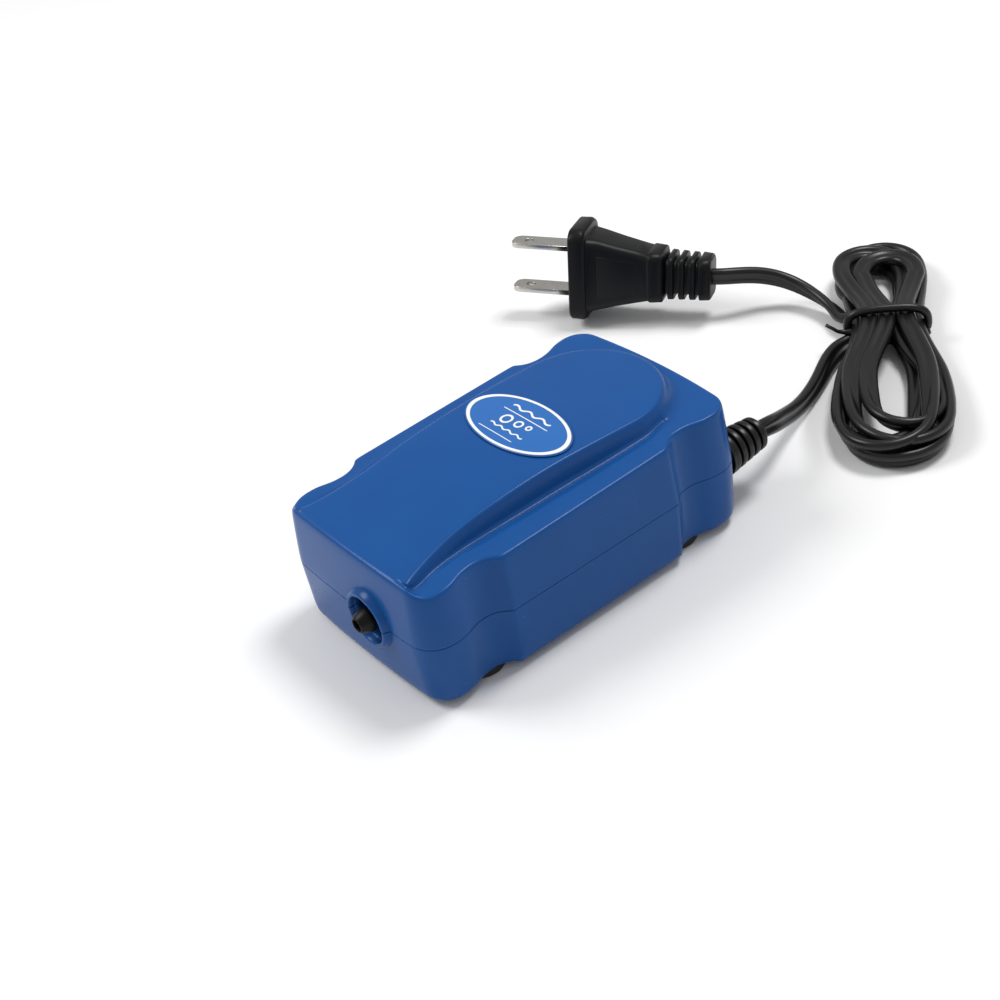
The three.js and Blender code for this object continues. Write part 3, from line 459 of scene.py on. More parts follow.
# %% [markdown]
# ## The tie
# A round plastic-covered tie goes nearly one and a half times round the waist of the hank and ends in
# a short wire tail. Its line is a rounded rectangle that drifts along the hank's axis, with a round
# bevel on the curve.

# %% Lace round the waist
LACE_HALF_WIDTH, LACE_HALF_HEIGHT, LACE_MIDDLE_Z = 10.2, 4.6, 6.1
LACE_DRIFT = 2.3
STEPS_IN_TURN = 24
FIRST_STEP, LAST_STEP = 14, 48


def signed_power(value, power):
    return math.copysign(abs(value) ** power, value)


def lace_line():
    points = []
    for i in range(FIRST_STEP, LAST_STEP + 1):
        angle = 2 * math.pi * i / STEPS_IN_TURN - 0.4
        across = signed_power(math.cos(angle), 0.55) * LACE_HALF_WIDTH
        up_down = signed_power(math.sin(angle), 0.75) * LACE_HALF_HEIGHT
        along = LACE_DRIFT * (i / LAST_STEP - 0.5)
        points.append(from_hank(along, across, LACE_MIDDLE_Z + up_down))
    tail = [from_hank(2.0, -11.4, 5.6), from_hank(3.0, -12.6, 6.6), from_hank(2.2, -15.6, 8.2)]
    return points + tail


tie_curve = bpy.data.curves.new("cord_lace", "CURVE")
tie_curve.dimensions = "3D"
tie_curve.bevel_depth = 1.1 * MM
tie_curve.bevel_resolution = 3
tie_curve.use_fill_caps = True
spline = tie_curve.splines.new("POLY")
lace = evened(smooth_line(lace_line(), 1.2), 2)
spline.points.add(len(lace) - 1)
for i, (point, place_mm) in enumerate(zip(spline.points, lace)):
    point.co = (*part(place_mm), 1)
    point.radius = 1 - 0.55 * smoothstep((i - len(lace) + 9) / 4)
cord_lace = apply_stack(add_object("cord_lace", tie_curve))
face_outwards(cord_lace.data)
shade(cord_lace)
settle(cord_lace, looks["cord_vinyl"], "cord_vinyl", "cord_tie")

# %% [markdown]
# ## Turned pieces
# The boot, the nozzle, the collar round the outlet and the feet are all round, so each is half a
# profile that a Screw modifier turns about an axis. The profile is drawn as radius and height, the
# stack is applied, and the piece is then laid along its own direction.

# %% Helper for turned pieces
def turned(name, profile, direction, origin, steps=64, bevel=0.0):
    mesh = bpy.data.meshes.new(name)
    edges = [(i, i + 1) for i in range(len(profile) - 1)]
    mesh.from_pydata([(r * MM, 0, h * MM) for r, h in profile], edges, [])
    obj = add_object(name, mesh)
    screw = obj.modifiers.new("turn", "SCREW")
    screw.steps = screw.render_steps = steps
    screw.use_merge_vertices = True
    screw.merge_threshold = 1e-6
    apply_stack(obj)
    face_outwards(obj.data)
    if bevel:
        soften(obj, bevel)
        apply_stack(obj)
    turn = Vector((0, 0, 1)).rotation_difference(Vector(direction)).to_matrix().to_4x4()
    place(obj, Matrix.Translation(part(origin)) @ turn)
    return shade(obj)


def soften(obj, width, segments=2, angle=32):
    bevel = obj.modifiers.new("soften", "BEVEL")
    bevel.width = width * MM
    bevel.segments = segments
    bevel.limit_method = "ANGLE"
    bevel.angle_limit = math.radians(angle)
    bevel.harden_normals = True


# %% Ribbed boot where the cord leaves the case
BOOT = (18.2, 45.4, 13.5)


def boot_profile():
    rings, pitch = 5, 2.34
    points = [(0, -0.3), (5.3, -0.3), (5.35, 0.4)]
    for i in range(rings):
        low = 0.5 + pitch * i
        radius = 5.25 - 0.26 * i
        groove = 3.7 - 0.22 * i
        points += [(radius - 0.15, low), (radius, low + 0.3), (radius - 0.1, low + 1.35),
                   (radius - 0.4, low + 1.6), (groove, low + 1.75), (groove, low + pitch - 0.12)]
    points[-2:] = [(3.4, 11.9), (2.6, 12.3)]
    return points + [(0, 12.3)]


cord_boot = turned("cord_boot", boot_profile(), (0, 1, 0), BOOT, steps=48, bevel=0.22)
settle(cord_boot, looks["cord_vinyl"], "cord_vinyl", "strain_relief")

# %% Feet
FOOT_X, FOOT_Y = 18.5, 28.5
FOOT_PROFILE = [(0, 2.0), (5.4, 2.0), (5.7, 0.5), (5.2, 0.0), (1.8, 0.0), (1.4, 0.5), (0, 0.6)]

for number, (x, y) in enumerate([(-1, -1), (1, -1), (-1, 1), (1, 1)]):
    foot = turned(f"rubber_foot_{number + 1}", FOOT_PROFILE, (0, 0, 1),
                  (x * FOOT_X, y * FOOT_Y, 0), bevel=0.15)
    settle(foot, looks["rubber"], "rubber", f"foot_{number + 1}")

# %% [markdown]
# ## Diaphragm
# The rubber diaphragm is a cup with a thick boss in its middle. The rim is clamped on the valve
# chamber and the boss is bolted to the arm, so the web between them bends as the arm swings. It is
# turned like the other round pieces and then blended across the hinge, along its own axis.

# %% Diaphragm across the hinge
low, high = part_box("diaphragm")
face = high[0] - 2.7 * MM
web = [
    (1.5, 2.7), (3.4, 2.7), (3.8, 2.3), (4.5, 1.95), (5.6, 1.7), (6.9, 1.45), (8.2, 1.3),
    (9.4, 1.2), (10, 0.8), (10, -2.3), (10, -5.4), (9, -5.4), (9, -2.3), (9, 0.3),
    (8.2, 0.4), (6.9, 0.55), (5.6, 0.75), (4.2, 0.95), (2.8, 1.0), (1.5, 1.0), (1.5, 2.7),
]
rubber_cup = turned("rubber_diaphragm", web, (1, 0, 0), (0, 0, 0))
centre = Vector((face, (low[1] + high[1]) / 2, (low[2] + high[2]) / 2))
rubber_cup.data.transform(Matrix.Translation(centre - part((0, 0, 0))))
rubber_cup.data.materials.append(looks["rubber"])
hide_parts("diaphragm")
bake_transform(rubber_cup, "case", "arm", start=(face + 0.3 * MM, 0, 0), end=(face + 0.95 * MM, 0, 0))
print("diaphragm face mm", round(face / MM, 2))

# %% [markdown]
# ## Case: plan and heights
# The lid and the base share one plan: straight middle walls, a shallow flute near each corner and
# bulging corner pillars. The plan is a row of stations for the right half, from the middle of the
# outlet end round to the middle of the cord end. Every row of the mesh uses the same stations, so
# lid and base meet exactly at the parting line.

# %% Plan of the right half
def arc(centre, radius, start, end, count):
    angles = np.radians(np.linspace(start, end, count + 1))
    return [(centre[0] + radius * math.cos(a), centre[1] + radius * math.sin(a)) for a in angles]


CORNER_X, CORNER_Y, CORNER_RADIUS = 19.9, 38, 7
SIDE_X, SIDE_Y = 28, 23.5
END_Y = 45
FLUTE = [(26.9, CORNER_Y), (26.6, 35), (25.2, 30.6), (25.5, 26.6), (SIDE_X, SIDE_Y)]
FRONT_COUNT, CORNER_COUNT, FLUTE_COUNT, MIDDLE_COUNT, BACK_COUNT = 7, 9, 12, 12, 8


def flute_points(end):
    curve = smooth_line([(x, y * end, 0) for x, y in FLUTE], 1.25)
    picks = np.linspace(0, len(curve) - 1, FLUTE_COUNT + 1).round().astype(int)
    return [(curve[i].x, curve[i].y) for i in picks]


def end_bulge(x):
    return 1 - (x / CORNER_X) ** 2


front = [(x, -END_Y - 0.5 * end_bulge(x)) for x in np.linspace(0, CORNER_X, FRONT_COUNT + 1)]
corner = arc((CORNER_X, -CORNER_Y), CORNER_RADIUS, -90, 0, CORNER_COUNT)
middle = [(SIDE_X, y) for y in np.linspace(-SIDE_Y, SIDE_Y, MIDDLE_COUNT + 1)]
back_corner = arc((CORNER_X, CORNER_Y), CORNER_RADIUS, 0, 90, CORNER_COUNT)
back = [(x, END_Y + end_bulge(x)) for x in np.linspace(CORNER_X, 0, BACK_COUNT + 1)]
plan = list(front)
for stretch in (corner, flute_points(-1), middle, flute_points(1)[::-1], back_corner, back):
    plan += stretch[1:]
K_CORNER = FRONT_COUNT
K_PILLAR = K_CORNER + CORNER_COUNT
K_CREASE = K_PILLAR + FLUTE_COUNT
K_CREASE_BACK = K_CREASE + MIDDLE_COUNT
K_PILLAR_BACK = K_CREASE_BACK + FLUTE_COUNT
K_CORNER_BACK = K_PILLAR_BACK + CORNER_COUNT
K_END = K_CORNER_BACK + BACK_COUNT
print("stations in half the plan", len(plan), K_END)

# %% Plan moved inwards
def plan_normals():
    normals = []
    for k in range(len(plan)):
        before = plan[k - 1] if k else (-plan[1][0], plan[1][1])
        after = plan[k + 1] if k < K_END else (-plan[K_END - 1][0], plan[K_END - 1][1])
        along = Vector((after[0] - before[0], after[1] - before[1])).normalized()
        normals.append(Vector((along.y, -along.x)))
    return normals


NORMALS = plan_normals()


def inset(k, distance):
    return Vector(plan[k]) - NORMALS[k] * distance


# %% [markdown]
# ## Lid
# A bullet-shaped tongue stands on the lid. It is widest where it runs out over the outlet end, is
# highest near the middle, and ends in a half round at the cord end. A steep wall drops from its edge
# to a crease, a narrow facet rises to a ridge line, and a level strip leads to the outer edge. The
# cage has one row of stations for each of those lines, then runs down the outside, round the rim and
# up the inside, so it is one closed wall. A subdivision surface rounds it, with creases on the lines
# that are sharp in the moulding.

# %% Tongue plan and heights
ARC_Y, ARC_RADIUS = 22.8, 18.2
TONGUE_SIDE = [(-45, 20.8), (-42.4, 19.9), (-40, 19.1), (-36, 18.1), (-31, 17.3), (-27, 16.95),
               (-15, 17.1), (0, 17.5), (12, 18.0), (ARC_Y, ARC_RADIUS)]
TONGUE_TOP = [(-46, 31.2), (-44, 31.45), (-36, 32.7), (-27, 34.1), (-15, 35.6), (0, 36.4), (12, 36.2),
              (22, 35.7), (41, 35.0), (46, 34.6)]


def smooth_value(table, at):
    xs, ys = zip(*table)
    i = int(np.clip(np.searchsorted(xs, at) - 1, 0, len(xs) - 2))
    slopes = np.gradient(ys, xs)
    h = xs[i + 1] - xs[i]
    t = (at - xs[i]) / h
    return ((1 + 2 * t) * (1 - t) ** 2 * ys[i] + t * (1 - t) ** 2 * h * slopes[i]
            + t * t * (3 - 2 * t) * ys[i + 1] + t * t * (t - 1) * h * slopes[i + 1])


def tongue_top(x, y):
    return smooth_value(TONGUE_TOP, y) + 0.35 * (1 - min(1, (x / 17.5) ** 2))


def deck_top(y):
    return 30.3 + 2.0 * (y + END_Y) / (2 * END_Y)


def tongue_point(k):
    keys = [K_CORNER, K_PILLAR, K_PILLAR + FLUTE_COUNT // 2, K_CREASE, K_CREASE_BACK,
            K_CREASE_BACK + FLUTE_COUNT // 2, K_PILLAR_BACK, K_CORNER_BACK, K_END]
    marks = [-42.4, -37.5, -30.5, -23.5, ARC_Y, ARC_Y + 18, ARC_Y + 38, ARC_Y + 60, ARC_Y + 90]
    mark = float(np.interp(k, keys, marks))
    if mark <= ARC_Y:
        slope = smooth_value(TONGUE_SIDE, mark + 0.5) - smooth_value(TONGUE_SIDE, mark - 0.5)
        return Vector((smooth_value(TONGUE_SIDE, mark), mark)), Vector((1, -slope)).normalized()
    angle = math.radians(mark - ARC_Y)
    outward = Vector((math.cos(angle), math.sin(angle)))
    return Vector((0, ARC_Y)) + outward * ARC_RADIUS, outward


# %% Rows of the lid at one station, from the tongue's top down to the parting line
LID_BOTTOM = 17.08
LID_ROWS = 15
FRONT_EDGE_Y = -43.8


def wall_rows(k, edge_z):
    rows = []
    for distance, down in ((1.7, 0.0), (1.15, 0.32), (0.88, 1.5)):
        p = inset(k, distance)
        rows.append((p.x, p.y, edge_z - down))
    p = inset(k, 0.45)
    rows.append((p.x, p.y, 24))
    p = inset(k, 0)
    rows += [(p.x, p.y, LID_BOTTOM + 1), (p.x, p.y, LID_BOTTOM)]
    return rows + inner_wall(k, LID_BOTTOM, 28.2)


def inner_wall(k, rim_z, end_z):
    p, q = inset(k, 1.9), inset(k, 3.4)
    return [(p.x, p.y, rim_z), (p.x, p.y, end_z + math.copysign(1, rim_z - end_z)), (q.x, q.y, end_z)]


def lid_rows(k):
    if k < K_CORNER:
        x = plan[k][0]
        rows = []
        for distance in (3.4, 2.9, 2.6, 2.35, 2.15, 1.95):
            p = inset(k, distance)
            rows.append((x, p.y, tongue_top(x, p.y)))
        return rows + wall_rows(k, tongue_top(x, FRONT_EDGE_Y) - 0.05)
    edge, outward = tongue_point(k)
    rim = inset(k, 1.7)
    across = rim - edge
    reach = across.length
    across = across.normalized()
    grown = smoothstep((edge.y + 42.4) / 17)
    fade = 1 - smoothstep((k - K_CREASE_BACK + 4) / 10)
    droop = 0.55 * smoothstep(1 - abs(k - K_CORNER - 4.5) / 9)
    deck = deck_top(edge.y) - droop
    top = tongue_top(edge.x, edge.y)
    deck = top + (deck - top) * smoothstep((k - K_CORNER + 1.5) / 4)
    foot = deck - 0.55 * grown * fade
    ridge = deck + 0.3 * grown * fade
    rows = []
    for distance in (-1.7, -0.55):
        p = edge + outward * distance
        rows.append((p.x, p.y, tongue_top(p.x, p.y)))
    p = edge + outward * 0.12
    rows.append((p.x, p.y, top - 0.35 * smoothstep((top - foot) / 2)))
    p = edge + across * min(1.0 + 0.5 * (1 - fade), 0.2 * reach)
    rows.append((p.x, p.y, foot))
    p = edge + across * min(4.2, 0.5 * reach)
    rows.append((p.x, p.y, ridge))
    p = edge + across * (0.5 * (min(4.2, 0.5 * reach) + reach))
    rows.append((p.x, p.y, deck))
    front_z = tongue_top(CORNER_X, FRONT_EDGE_Y)
    rim_z = deck_top(rim.y) - droop
    rim_z = front_z + (rim_z - front_z) * smoothstep((k - K_CORNER) / 6)
    return rows + wall_rows(k, rim_z)


# %% Ring and cap of a cage
def ring_cage(rows_of, row_count):
    points, index = [], {}
    for k in range(K_END + 1):
        for row, (x, y, z) in enumerate(rows_of(k)):
            for side in (1, -1):
                if side < 0 and k in (0, K_END):
                    index[row, -k] = index[row, k]
                    continue
                index[row, side * k] = len(points)
                points.append((side * x, y, z))
    index.update({(row, -K_END): index[row, K_END] for row in range(row_count)})
    faces = []
    for row in range(row_count - 1):
        for k in range(-K_END, K_END):
            faces.append((index[row, k], index[row + 1, k], index[row + 1, k + 1], index[row, k + 1]))
    return points, faces, index


def cap_tongue(points, faces, index):
    columns = 2 * K_CORNER
    before = [index[0, k] for k in range(-K_CORNER, K_CORNER + 1)]
    for k in range(K_CORNER + 1, K_END):
        x, y, _ = points[index[0, k]]
        row = [index[0, -k]]
        for j in range(1, columns):
            column_x = x * (2 * j / columns - 1)
            row.append(len(points))
            points.append((column_x, y, tongue_top(column_x, y)))
        row.append(index[0, k])
        faces += [(before[j], before[j + 1], row[j + 1], row[j]) for j in range(columns)]
        before = row
    tip = index[0, K_END]
    faces += [(before[j], before[j + 1], tip) for j in range(columns)]


def crease(obj, pairs, amount):
    attributes = obj.data.attributes
    layer = attributes.get("crease_edge") or attributes.new("crease_edge", "FLOAT", "EDGE")
    wanted = {frozenset(pair) for pair in pairs}
    for edge in obj.data.edges:
        if frozenset(edge.vertices) in wanted:
            layer.data[edge.index].value = amount


def along_row(index, row, first=0, last=K_END):
    stations = [k for k in range(-K_END, K_END) if first <= abs(k) <= last]
    return [(index[row, k], index[row, k + 1]) for k in stations]


def up_wall(index, rows, stations):
    both = [side * k for k in stations for side in (1, -1)]
    return [(index[row, k], index[row + 1, k]) for row in rows for k in both]


# %% Shell from a cage
def shell(obj, levels):
    rounding = obj.modifiers.new("rounding", "SUBSURF")
    rounding.levels = rounding.render_levels = levels
    return apply_stack(obj)


points, faces, index = ring_cage(lid_rows, LID_ROWS)
cap_tongue(points, faces, index)
faces.append([index[LID_ROWS - 1, k] for k in range(-K_END, K_END)])
lid = new_mesh("case_lid", points, faces)
crease(lid, along_row(index, 1, K_CORNER, K_END), 0.15)
crease(lid, along_row(index, 3, K_CORNER + 2, K_CREASE_BACK + 6), 0.9)
crease(lid, along_row(index, 4, K_CORNER + 2, K_CREASE_BACK + 5), 0.75)
crease(lid, up_wall(index, range(7, 11), [K_CREASE, K_CREASE_BACK]), 0.55)
for row in (11, 12, 14):
    crease(lid, along_row(index, row), 1.0)
shell(lid, levels=2)
print("lid faces", len(lid.data.polygons))

# %% [markdown]
# ## Base
# The base is the lower half of the same plan with a plain floor. Its cage has few rows, and the
# recesses for the feet, the screw heads and the filter are cut out of it afterwards.

# %% Base cage
BASE_TOP = 16.92
BASE_ROWS = 11


def base_rows(k):
    rows = inner_wall(k, BASE_TOP, 3.2)[::-1]
    for distance, z in ((0, BASE_TOP), (0, 15.9), (0.25, 9.5), (0.55, 3.6), (0.8, 2.2),
                        (1.5, 1.52), (2.6, 1.4), (4.5, 1.4)):
        p = inset(k, distance)
        rows.append((p.x, p.y, z))
    return rows


points, faces, index = ring_cage(base_rows, BASE_ROWS)
for row in (0, BASE_ROWS - 1):
    faces.append([index[row, k] for k in range(-K_END, K_END)])
base = new_mesh("case_base", points, faces)
for row in (0, 2, 3):
    crease(base, along_row(index, row), 1.0)
crease(base, up_wall(index, range(3, 8), [K_CREASE, K_CREASE_BACK]), 0.55)
shell(base, levels=2)
print("base faces", len(base.data.polygons))

# %% Cutters for the round holes and the filter pocket
OUTLET = (6, -END_Y, 16.8)
CASE_SCREW_X, CASE_SCREW_Y = 21.5, 37.5


def cylinder(centre, direction, radius, length):
    bm = bmesh.new()
    bmesh.ops.create_cone(bm, cap_ends=True, segments=64, radius1=radius * MM,
                          radius2=radius * MM, depth=length * MM)
    turn = Vector((0, 0, 1)).rotation_difference(Vector(direction)).to_matrix().to_4x4()
    bm.transform(Matrix.Translation(part(centre)) @ turn)
    mesh = bpy.data.meshes.new("cutter")
    bm.to_mesh(mesh)
    bm.free()
    return add_object("cutter", mesh)


def box_cutter(low, high):
    x0, y0, z0 = low
    x1, y1, z1 = high
    corners = [(x, y, z) for z in (z0, z1) for y in (y0, y1) for x in (x0, x1)]
    faces = [(0, 2, 3, 1), (4, 5, 7, 6), (0, 1, 5, 4), (2, 6, 7, 3), (0, 4, 6, 2), (1, 3, 7, 5)]
    return new_mesh("cutter", corners, faces)


def cut(target, cutters):
    tool = cutters[0]
    for extra in cutters[1:]:
        join(tool, extra)
    face_outwards(tool.data)
    boolean = target.modifiers.new("cut", "BOOLEAN")
    boolean.operation = "DIFFERENCE"
    boolean.solver = "EXACT"
    boolean.object = tool
    apply_stack(target)
    drop(tool)


outlet_hole = ((OUTLET[0], OUTLET[1] + 1, OUTLET[2]), (0, 1, 0), 5.75, 10)
boot_hole = ((BOOT[0], 44, BOOT[2]), (0, 1, 0), 4.4, 8)
cut(lid, [cylinder(*outlet_hole), cylinder(*boot_hole)])
filter_pocket = box_cutter((-20, -18, 0), (-4, -5, 3.0))
floor_cutters = [cylinder(*outlet_hole), cylinder(*boot_hole), filter_pocket]
for x in (-1, 1):
    for y in (-1, 1):
        foot_place = (x * FOOT_X, y * FOOT_Y, 1.0)
        screw_place = (x * CASE_SCREW_X, y * CASE_SCREW_Y, 1.0)
        floor_cutters.append(cylinder(foot_place, (0, 0, 1), 5.85, 2.6))
        floor_cutters.append(cylinder(screw_place, (0, 0, 1), 2.95, 6))
cut(base, floor_cutters)

# %% [markdown]
# ## Collar round the outlet
# A short cone stands out round the hole. It is moulded half on the lid and half on the base, so one
# turned ring is split at the parting line and each half is joined to its own shell.

# %% Split collar
COLLAR = [(5.75, 4.0), (5.75, -1.5), (6.0, -1.75), (6.5, -1.75), (6.8, -1.5), (7.5, 0.3),
          (7.5, 4.0), (5.75, 4.0)]
PARTING_Z = 17.0


def half_collar(name, keep_above):
    ring = turned(name, [(r, -h) for r, h in COLLAR], (0, -1, 0), OUTLET, steps=72)
    face_outwards(ring.data)
    bm = bmesh.new()
    bm.from_mesh(ring.data)
    cut_z = (PARTING_Z + (0.15 if keep_above else -0.15)) * MM
    bmesh.ops.bisect_plane(bm, geom=bm.verts[:] + bm.edges[:] + bm.faces[:], plane_co=(0, 0, cut_z),
                           plane_no=(0, 0, 1), clear_inner=keep_above, clear_outer=not keep_above)
    bmesh.ops.holes_fill(bm, edges=[e for e in bm.edges if e.is_boundary])
    bmesh.ops.recalc_face_normals(bm, faces=bm.faces)
    bm.to_mesh(ring.data)
    bm.free()
    return ring


join(lid, half_collar("collar_above", True))
join(base, half_collar("collar_below", False))
for piece, node in ((lid, "upper_shell"), (base, "lower_shell")):
    shade(piece)
    settle(piece, looks["case"], "case", node)

# %% [markdown]
# ## Outlet nozzle
# Two barbs grip the air hose. Behind them a round flange sits inside the case and a duct leads to
# the valve chamber.

# %% Barbed nozzle and duct
NOZZLE = [
    (0, 25), (2.2, 25), (2.2, 9.8), (4.6, 9.8), (4.6, 8.2), (2.3, 8.0), (2.2, 6.5),
    (2.9, 6.3), (2.9, 5.9), (2.15, 3.6), (2.15, 3.3), (2.9, 3.1), (2.9, 2.6), (2.0, 0.3),
    (1.7, 0.0), (1.45, 0.1), (1.4, 0.5), (1.4, 12), (0, 12),
]
nozzle_tip = (OUTLET[0], OUTLET[1] - 4, OUTLET[2])
nozzle = turned("outlet_nozzle_barbs", NOZZLE, (0, 1, 0), nozzle_tip, steps=56, bevel=0.12)
duct = box_cutter((-14.6, -29.1, 14.2), (8.2, -24.7, 19.4))
join(nozzle, duct)
settle(nozzle, looks["black_plastic"], "black_plastic", "outlet_nozzle")

# %% [markdown]
# ## Badge
# A printed oval film with a pale rim follows the curve of the tongue. The marks on it are plain
# shapes of this lesson's own: a wave line, three bubbles and two thin rules.

# %% Sheets that follow the tongue
BADGE_MIDDLE = (0, 4.1)


def on_tongue(x, y, lift):
    return (x, y, tongue_top(x, y) + lift)


def oval_sheet(name, half_x, half_y, lift, rings=10, sides=72, hole=0.0):
    points, faces = [], []
    if not hole:
        points.append(on_tongue(*BADGE_MIDDLE, lift))
    shares = np.linspace(hole, 1, rings + 1)[0 if hole else 1:]
    for share in shares:
        for i in range(sides):
            angle = 2 * math.pi * i / sides
            x = BADGE_MIDDLE[0] + half_x * share * math.cos(angle)
            y = BADGE_MIDDLE[1] + half_y * share * math.sin(angle)
            points.append(on_tongue(x, y, lift))
    start = 0 if hole else 1
    for r in range(len(shares) - 1):
        for i in range(sides):
            a, b = start + r * sides + i, start + r * sides + (i + 1) % sides
            faces.append((a, a + sides, b + sides, b))
    if not hole:
        faces += [(0, 1 + i, 1 + (i + 1) % sides) for i in range(sides)]
    sheet = new_mesh(name, points, faces)
    face_upwards(sheet)
    return sheet


def face_upwards(obj):
    bm = bmesh.new()
    bm.from_mesh(obj.data)
    bmesh.ops.recalc_face_normals(bm, faces=bm.faces)
    bm.normal_update()
    if sum(f.normal.z for f in bm.faces) < 0:
        bmesh.ops.reverse_faces(bm, faces=bm.faces)
    bm.to_mesh(obj.data)
    bm.free()


def film(obj, thickness):
    wall = obj.modifiers.new("film", "SOLIDIFY")
    wall.thickness = thickness * MM
    wall.offset = 1
    return shade(obj)


badge = film(oval_sheet("badge_film", 15.9, 8.5, 0.12), 0.3)
settle(badge, looks["badge"], "badge", "label_badge")
rim = film(oval_sheet("badge_rim", 15.5, 8.2, 0.42, rings=3, hole=0.925), 0.12)
settle(rim, looks["print"], "badge")

# %% Generic marks: rules, a wave and bubbles
def ribbon(name, line_points, half_width, lift):
    points, faces = [], []
    count = len(line_points)
    for i, (x, y) in enumerate(line_points):
        a = line_points[max(0, i - 1)]
        b = line_points[min(count - 1, i + 1)]
        along = Vector((b[0] - a[0], b[1] - a[1])).normalized()
        side = Vector((-along.y, along.x)) * half_width
        points += [on_tongue(x - side.x, y - side.y, lift), on_tongue(x + side.x, y + side.y, lift)]
    faces = [(2 * i, 2 * i + 2, 2 * i + 3, 2 * i + 1) for i in range(count - 1)]
    if line_points[0] == line_points[-1]:
        faces[-1] = (2 * count - 4, 0, 1, 2 * count - 3)
    sheet = new_mesh(name, points, faces)
    face_upwards(sheet)
    return sheet


def bubble(x, y, radius):
    angles = np.linspace(0, 2 * math.pi, 25)
    return [(x + radius * math.cos(a), y + radius * math.sin(a)) for a in angles]


def wave(x0, x1, y, height, waves):
    xs = np.linspace(x0, x1, 40)
    return [(x, y + height * math.sin(2 * math.pi * waves * (x - x0) / (x1 - x0))) for x in xs]


marks = ribbon("badge_marks", wave(-6.5, 6.5, 8.2, 0.45, 3), 0.26, 0.42)
for strip, width in (
    ([(x, 6.3) for x in np.linspace(-7.5, 7.5, 20)], 0.12),
    (bubble(-3.3, 3.6, 1.35), 0.28),
    (bubble(0.6, 3.9, 1.0), 0.25),
    (bubble(3.6, 4.3, 0.65), 0.22),
    (wave(-5.5, 5.5, 0.8, 0.28, 4), 0.2),
    ([(x, -1.4) for x in np.linspace(-7, 4.5, 20)], 0.1),
):
    join(marks, ribbon("strip", strip, width, 0.42))
settle(film(marks, 0.08), looks["print"], "badge")

# %% [markdown]
# ## Plug
# The plug lies on the edge of its flange. Its body is a loft: rounded rectangles set along the
# plug's axis, wide at the flange, pinched at the neck, then four ribs that let the cord flex. A
# Bevel modifier softens every step of it. Sizes run from the blade face towards the cord.

# %% Plug frame
PLUG_PLACE = (-74.6, 80.85, 14.3)
PLUG_HEADING, PLUG_DIP, PLUG_ROLL = 0.591, 0.055, 1.396
plug_axis = Vector((
    math.cos(PLUG_HEADING) * math.cos(PLUG_DIP),
    math.sin(PLUG_HEADING) * math.cos(PLUG_DIP),
    -math.sin(PLUG_DIP),
))
plug_level = Vector((-math.sin(PLUG_HEADING), math.cos(PLUG_HEADING), 0))
plug_spread = Matrix.Rotation(PLUG_ROLL, 3, plug_axis) @ plug_level
plug_turn = Matrix((plug_axis, plug_spread, plug_axis.cross(plug_spread))).transposed()
plug_frame = Matrix.Translation(part(PLUG_PLACE)) @ plug_turn.to_4x4()

# %% Lofted body
GROOVE = (4.7, 3.6, 1.8)
PLUG_SECTIONS = [
    (0.0, 12.4, 7.3, 3.0), (0.5, 12.9, 7.9, 3.4), (3.6, 13.0, 8.0, 3.5), (4.7, 12.4, 7.5, 3.2),
    (4.8, 10.6, 6.8, 2.4), (8.0, 9.9, 6.5, 2.3), (13, 8.6, 6.1, 2.2), (18, 7.5, 5.6, 2.1),
    (21.4, 6.8, 5.3, 2.0), (21.8, 7.2, 5.6, 2.2), (25.2, 6.9, 5.4, 2.2), (25.6, 5.9, 4.6, 2.0),
]
for i in range(3):
    at = 26.1 + 2.95 * i
    PLUG_SECTIONS += [
        (at, *GROOVE), (at + 0.6, *GROOVE),
        (at + 0.65, 6.2 - 0.1 * i, 4.9 - 0.1 * i, 2.4),
        (at + 2.2, 6.1 - 0.1 * i, 4.8 - 0.1 * i, 2.4),
        (at + 2.25, *GROOVE),
    ]
PLUG_SECTIONS += [(35.2, *GROOVE), (35.25, 6.0, 4.7, 2.4), (37.9, 5.8, 4.5, 2.4), (38.4, 5.2, 3.9, 2.0)]


def rounded_ring(x, half_y, half_z, radius, count=6):
    ring = []
    for quarter, (sy, sz) in enumerate(((1, 1), (-1, 1), (-1, -1), (1, -1))):
        for i in range(count + 1):
            angle = math.radians(90 * quarter + 90 * i / count)
            ring.append((x, sy * (half_y - radius) + radius * math.cos(angle),
                         sz * (half_z - radius) + radius * math.sin(angle)))
    return ring


def loft(name, sections):
    rings = [rounded_ring(*s) for s in sections]
    size = len(rings[0])
    points = [Vector(p) * MM for ring in rings for p in ring]
    faces = []
    for start in range(0, (len(rings) - 1) * size, size):
        for i in range(size):
            j = (i + 1) % size
            faces.append((start + i, start + j, start + size + j, start + size + i))
    faces += [list(range(size))[::-1], [(len(rings) - 1) * size + i for i in range(size)]]
    mesh = bpy.data.meshes.new(name)
    mesh.from_pydata(points, [], faces)
    face_outwards(mesh)
    return add_object(name, mesh)


plug = loft("plug_housing", PLUG_SECTIONS)
soften(plug, 0.35)
apply_stack(plug)
PANEL_SECTIONS = [
    (6.9, 5.6, 0.5, 0.2), (7.3, 6.0, 0.6, 0.25), (17.6, 4.4, 0.6, 0.25), (18.0, 4.0, 0.5, 0.2),
]
for side in (1, -1):
    panel = loft("panel", PANEL_SECTIONS)
    lean = Matrix.Rotation(0.09 * side, 4, "Y")
    place(panel, lean @ Matrix.Translation((0, 0, side * 6.72 * MM)))
    join(plug, panel)
place(plug, plug_frame)
shade(plug)
settle(plug, looks["black_plastic"], "black_plastic", "plug_body")

# %% [markdown]
# ## Blades
# Each blade is a flat strip with rounded corners and a round hole, so it is a flat curve with a hole
# in it, extruded and bevelled.

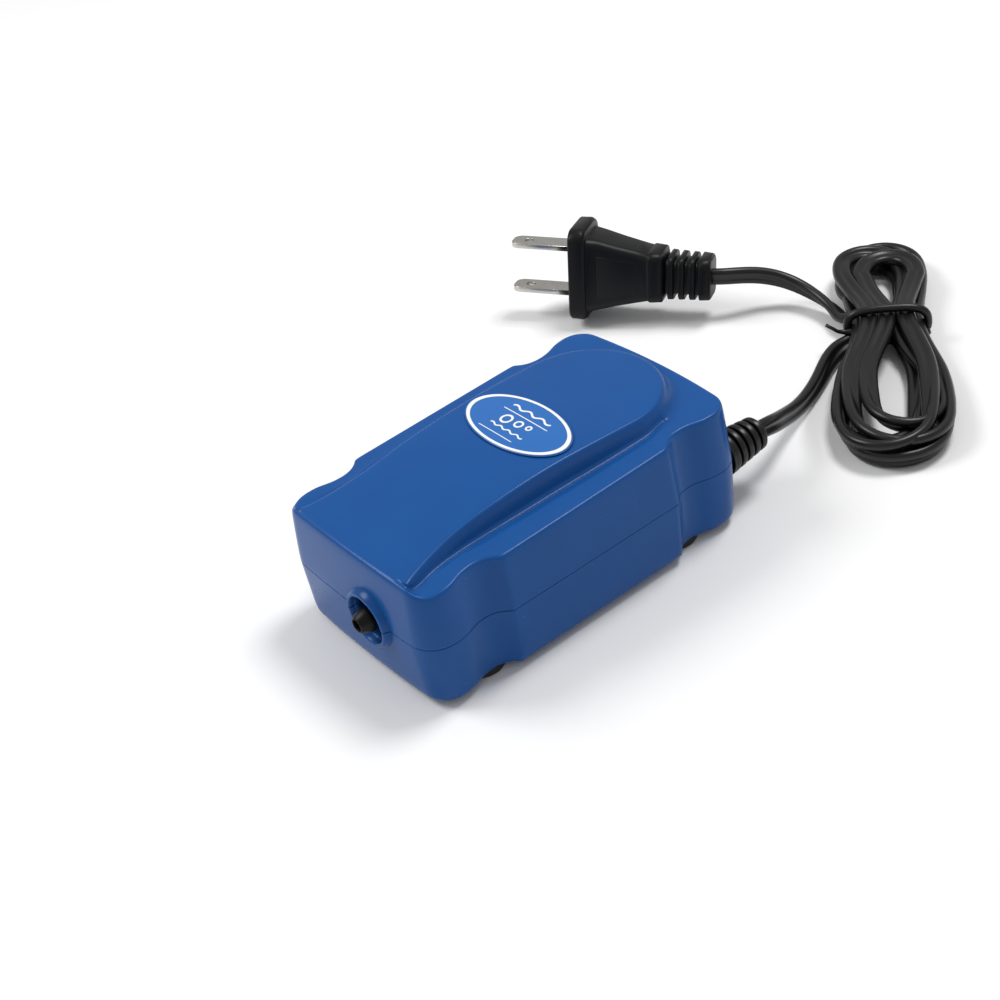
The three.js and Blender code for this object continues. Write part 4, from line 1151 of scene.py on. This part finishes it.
# %% Two blades
BLADE_HALF_WIDTH, BLADE_CORNER = 3.1, 2.2
BLADE_TIP, BLADE_HOLE = -17.4, 1.45
BLADE_OFFSET = 6.35


def blade_curve(name):
    data = bpy.data.curves.new(name, "CURVE")
    data.dimensions = "2D"
    data.fill_mode = "BOTH"
    corner_x = BLADE_TIP + BLADE_CORNER
    outline = [(1.2, -BLADE_HALF_WIDTH), (1.2, BLADE_HALF_WIDTH), (corner_x, BLADE_HALF_WIDTH)]
    for angle in np.linspace(0.2, 1.4, 6):
        outline.append((corner_x - BLADE_CORNER * math.sin(angle),
                        BLADE_HALF_WIDTH - BLADE_CORNER + BLADE_CORNER * math.cos(angle)))
    outline += [(x, -y) for x, y in reversed(outline[2:])]
    hole_x = BLADE_TIP + 4.5
    hole = [(hole_x + BLADE_HOLE * math.cos(angle), BLADE_HOLE * math.sin(angle))
            for angle in np.linspace(0, 2 * math.pi, 25)[:-1]]
    for points in (outline, hole):
        spline = data.splines.new("POLY")
        spline.points.add(len(points) - 1)
        for point, (x, y) in zip(spline.points, points):
            point.co = (x * MM, y * MM, 0, 1)
        spline.use_cyclic_u = True
    data.extrude = 0.55 * MM
    data.bevel_depth = 0.18 * MM
    data.bevel_resolution = 2
    return apply_stack(add_object(name, data))


for number, side in enumerate((1, -1)):
    blade = blade_curve(f"plug_blade_{number + 1}")
    face_outwards(blade.data)
    upright = Matrix.Rotation(math.pi / 2, 4, "X")
    place(blade, plug_frame @ Matrix.Translation((0, side * BLADE_OFFSET * MM, 0)) @ upright)
    settle(blade, looks["nickel"], "nickel", f"blade_{number + 1}")

# %% [markdown]
# ## Floor and light
# A plain pale floor, one wide soft light from the outlet side and above, a weaker one from behind
# for the long edges, and an even pale surround.

# %% Floor
floor_mesh = bpy.data.meshes.new("floor")
floor_mesh.from_pydata([(-4, -4, 0), (4, -4, 0), (4, 4, 0), (-4, 4, 0)], [], [(0, 1, 2, 3)])
floor = add_object("floor", floor_mesh)
floor.data.materials.append(finish("pale_floor", (0.86, 0.86, 0.86), 0.85, mottle=0.005, mottle_scale=3,
                                   grain=0.00001, specular=0.1))


# %% Lights
def soft_light(name, place_mm, size, power):
    data = bpy.data.lights.new(name, "AREA")
    data.shape = "DISK"
    data.size = size
    data.energy = power
    lamp = bpy.data.objects.new(name, data)
    bpy.context.scene.collection.objects.link(lamp)
    lamp.location = Vector(place_mm) * MM
    lamp.rotation_euler = (Vector((0, 20, 10)) * MM - lamp.location).to_track_quat("-Z", "Y").to_euler()


soft_light("key_light", (-520, -420, 760), 0.45, 4.6)
soft_light("top_light", (40, 380, 820), 0.3, 4.2)
world = bpy.data.worlds.new("surround")
world.use_nodes = True
world.node_tree.nodes["Background"].inputs["Color"].default_value = (1, 1, 1, 1)
world.node_tree.nodes["Background"].inputs["Strength"].default_value = 0.47
bpy.context.scene.world = world
bpy.context.scene.view_settings.view_transform = "Standard"
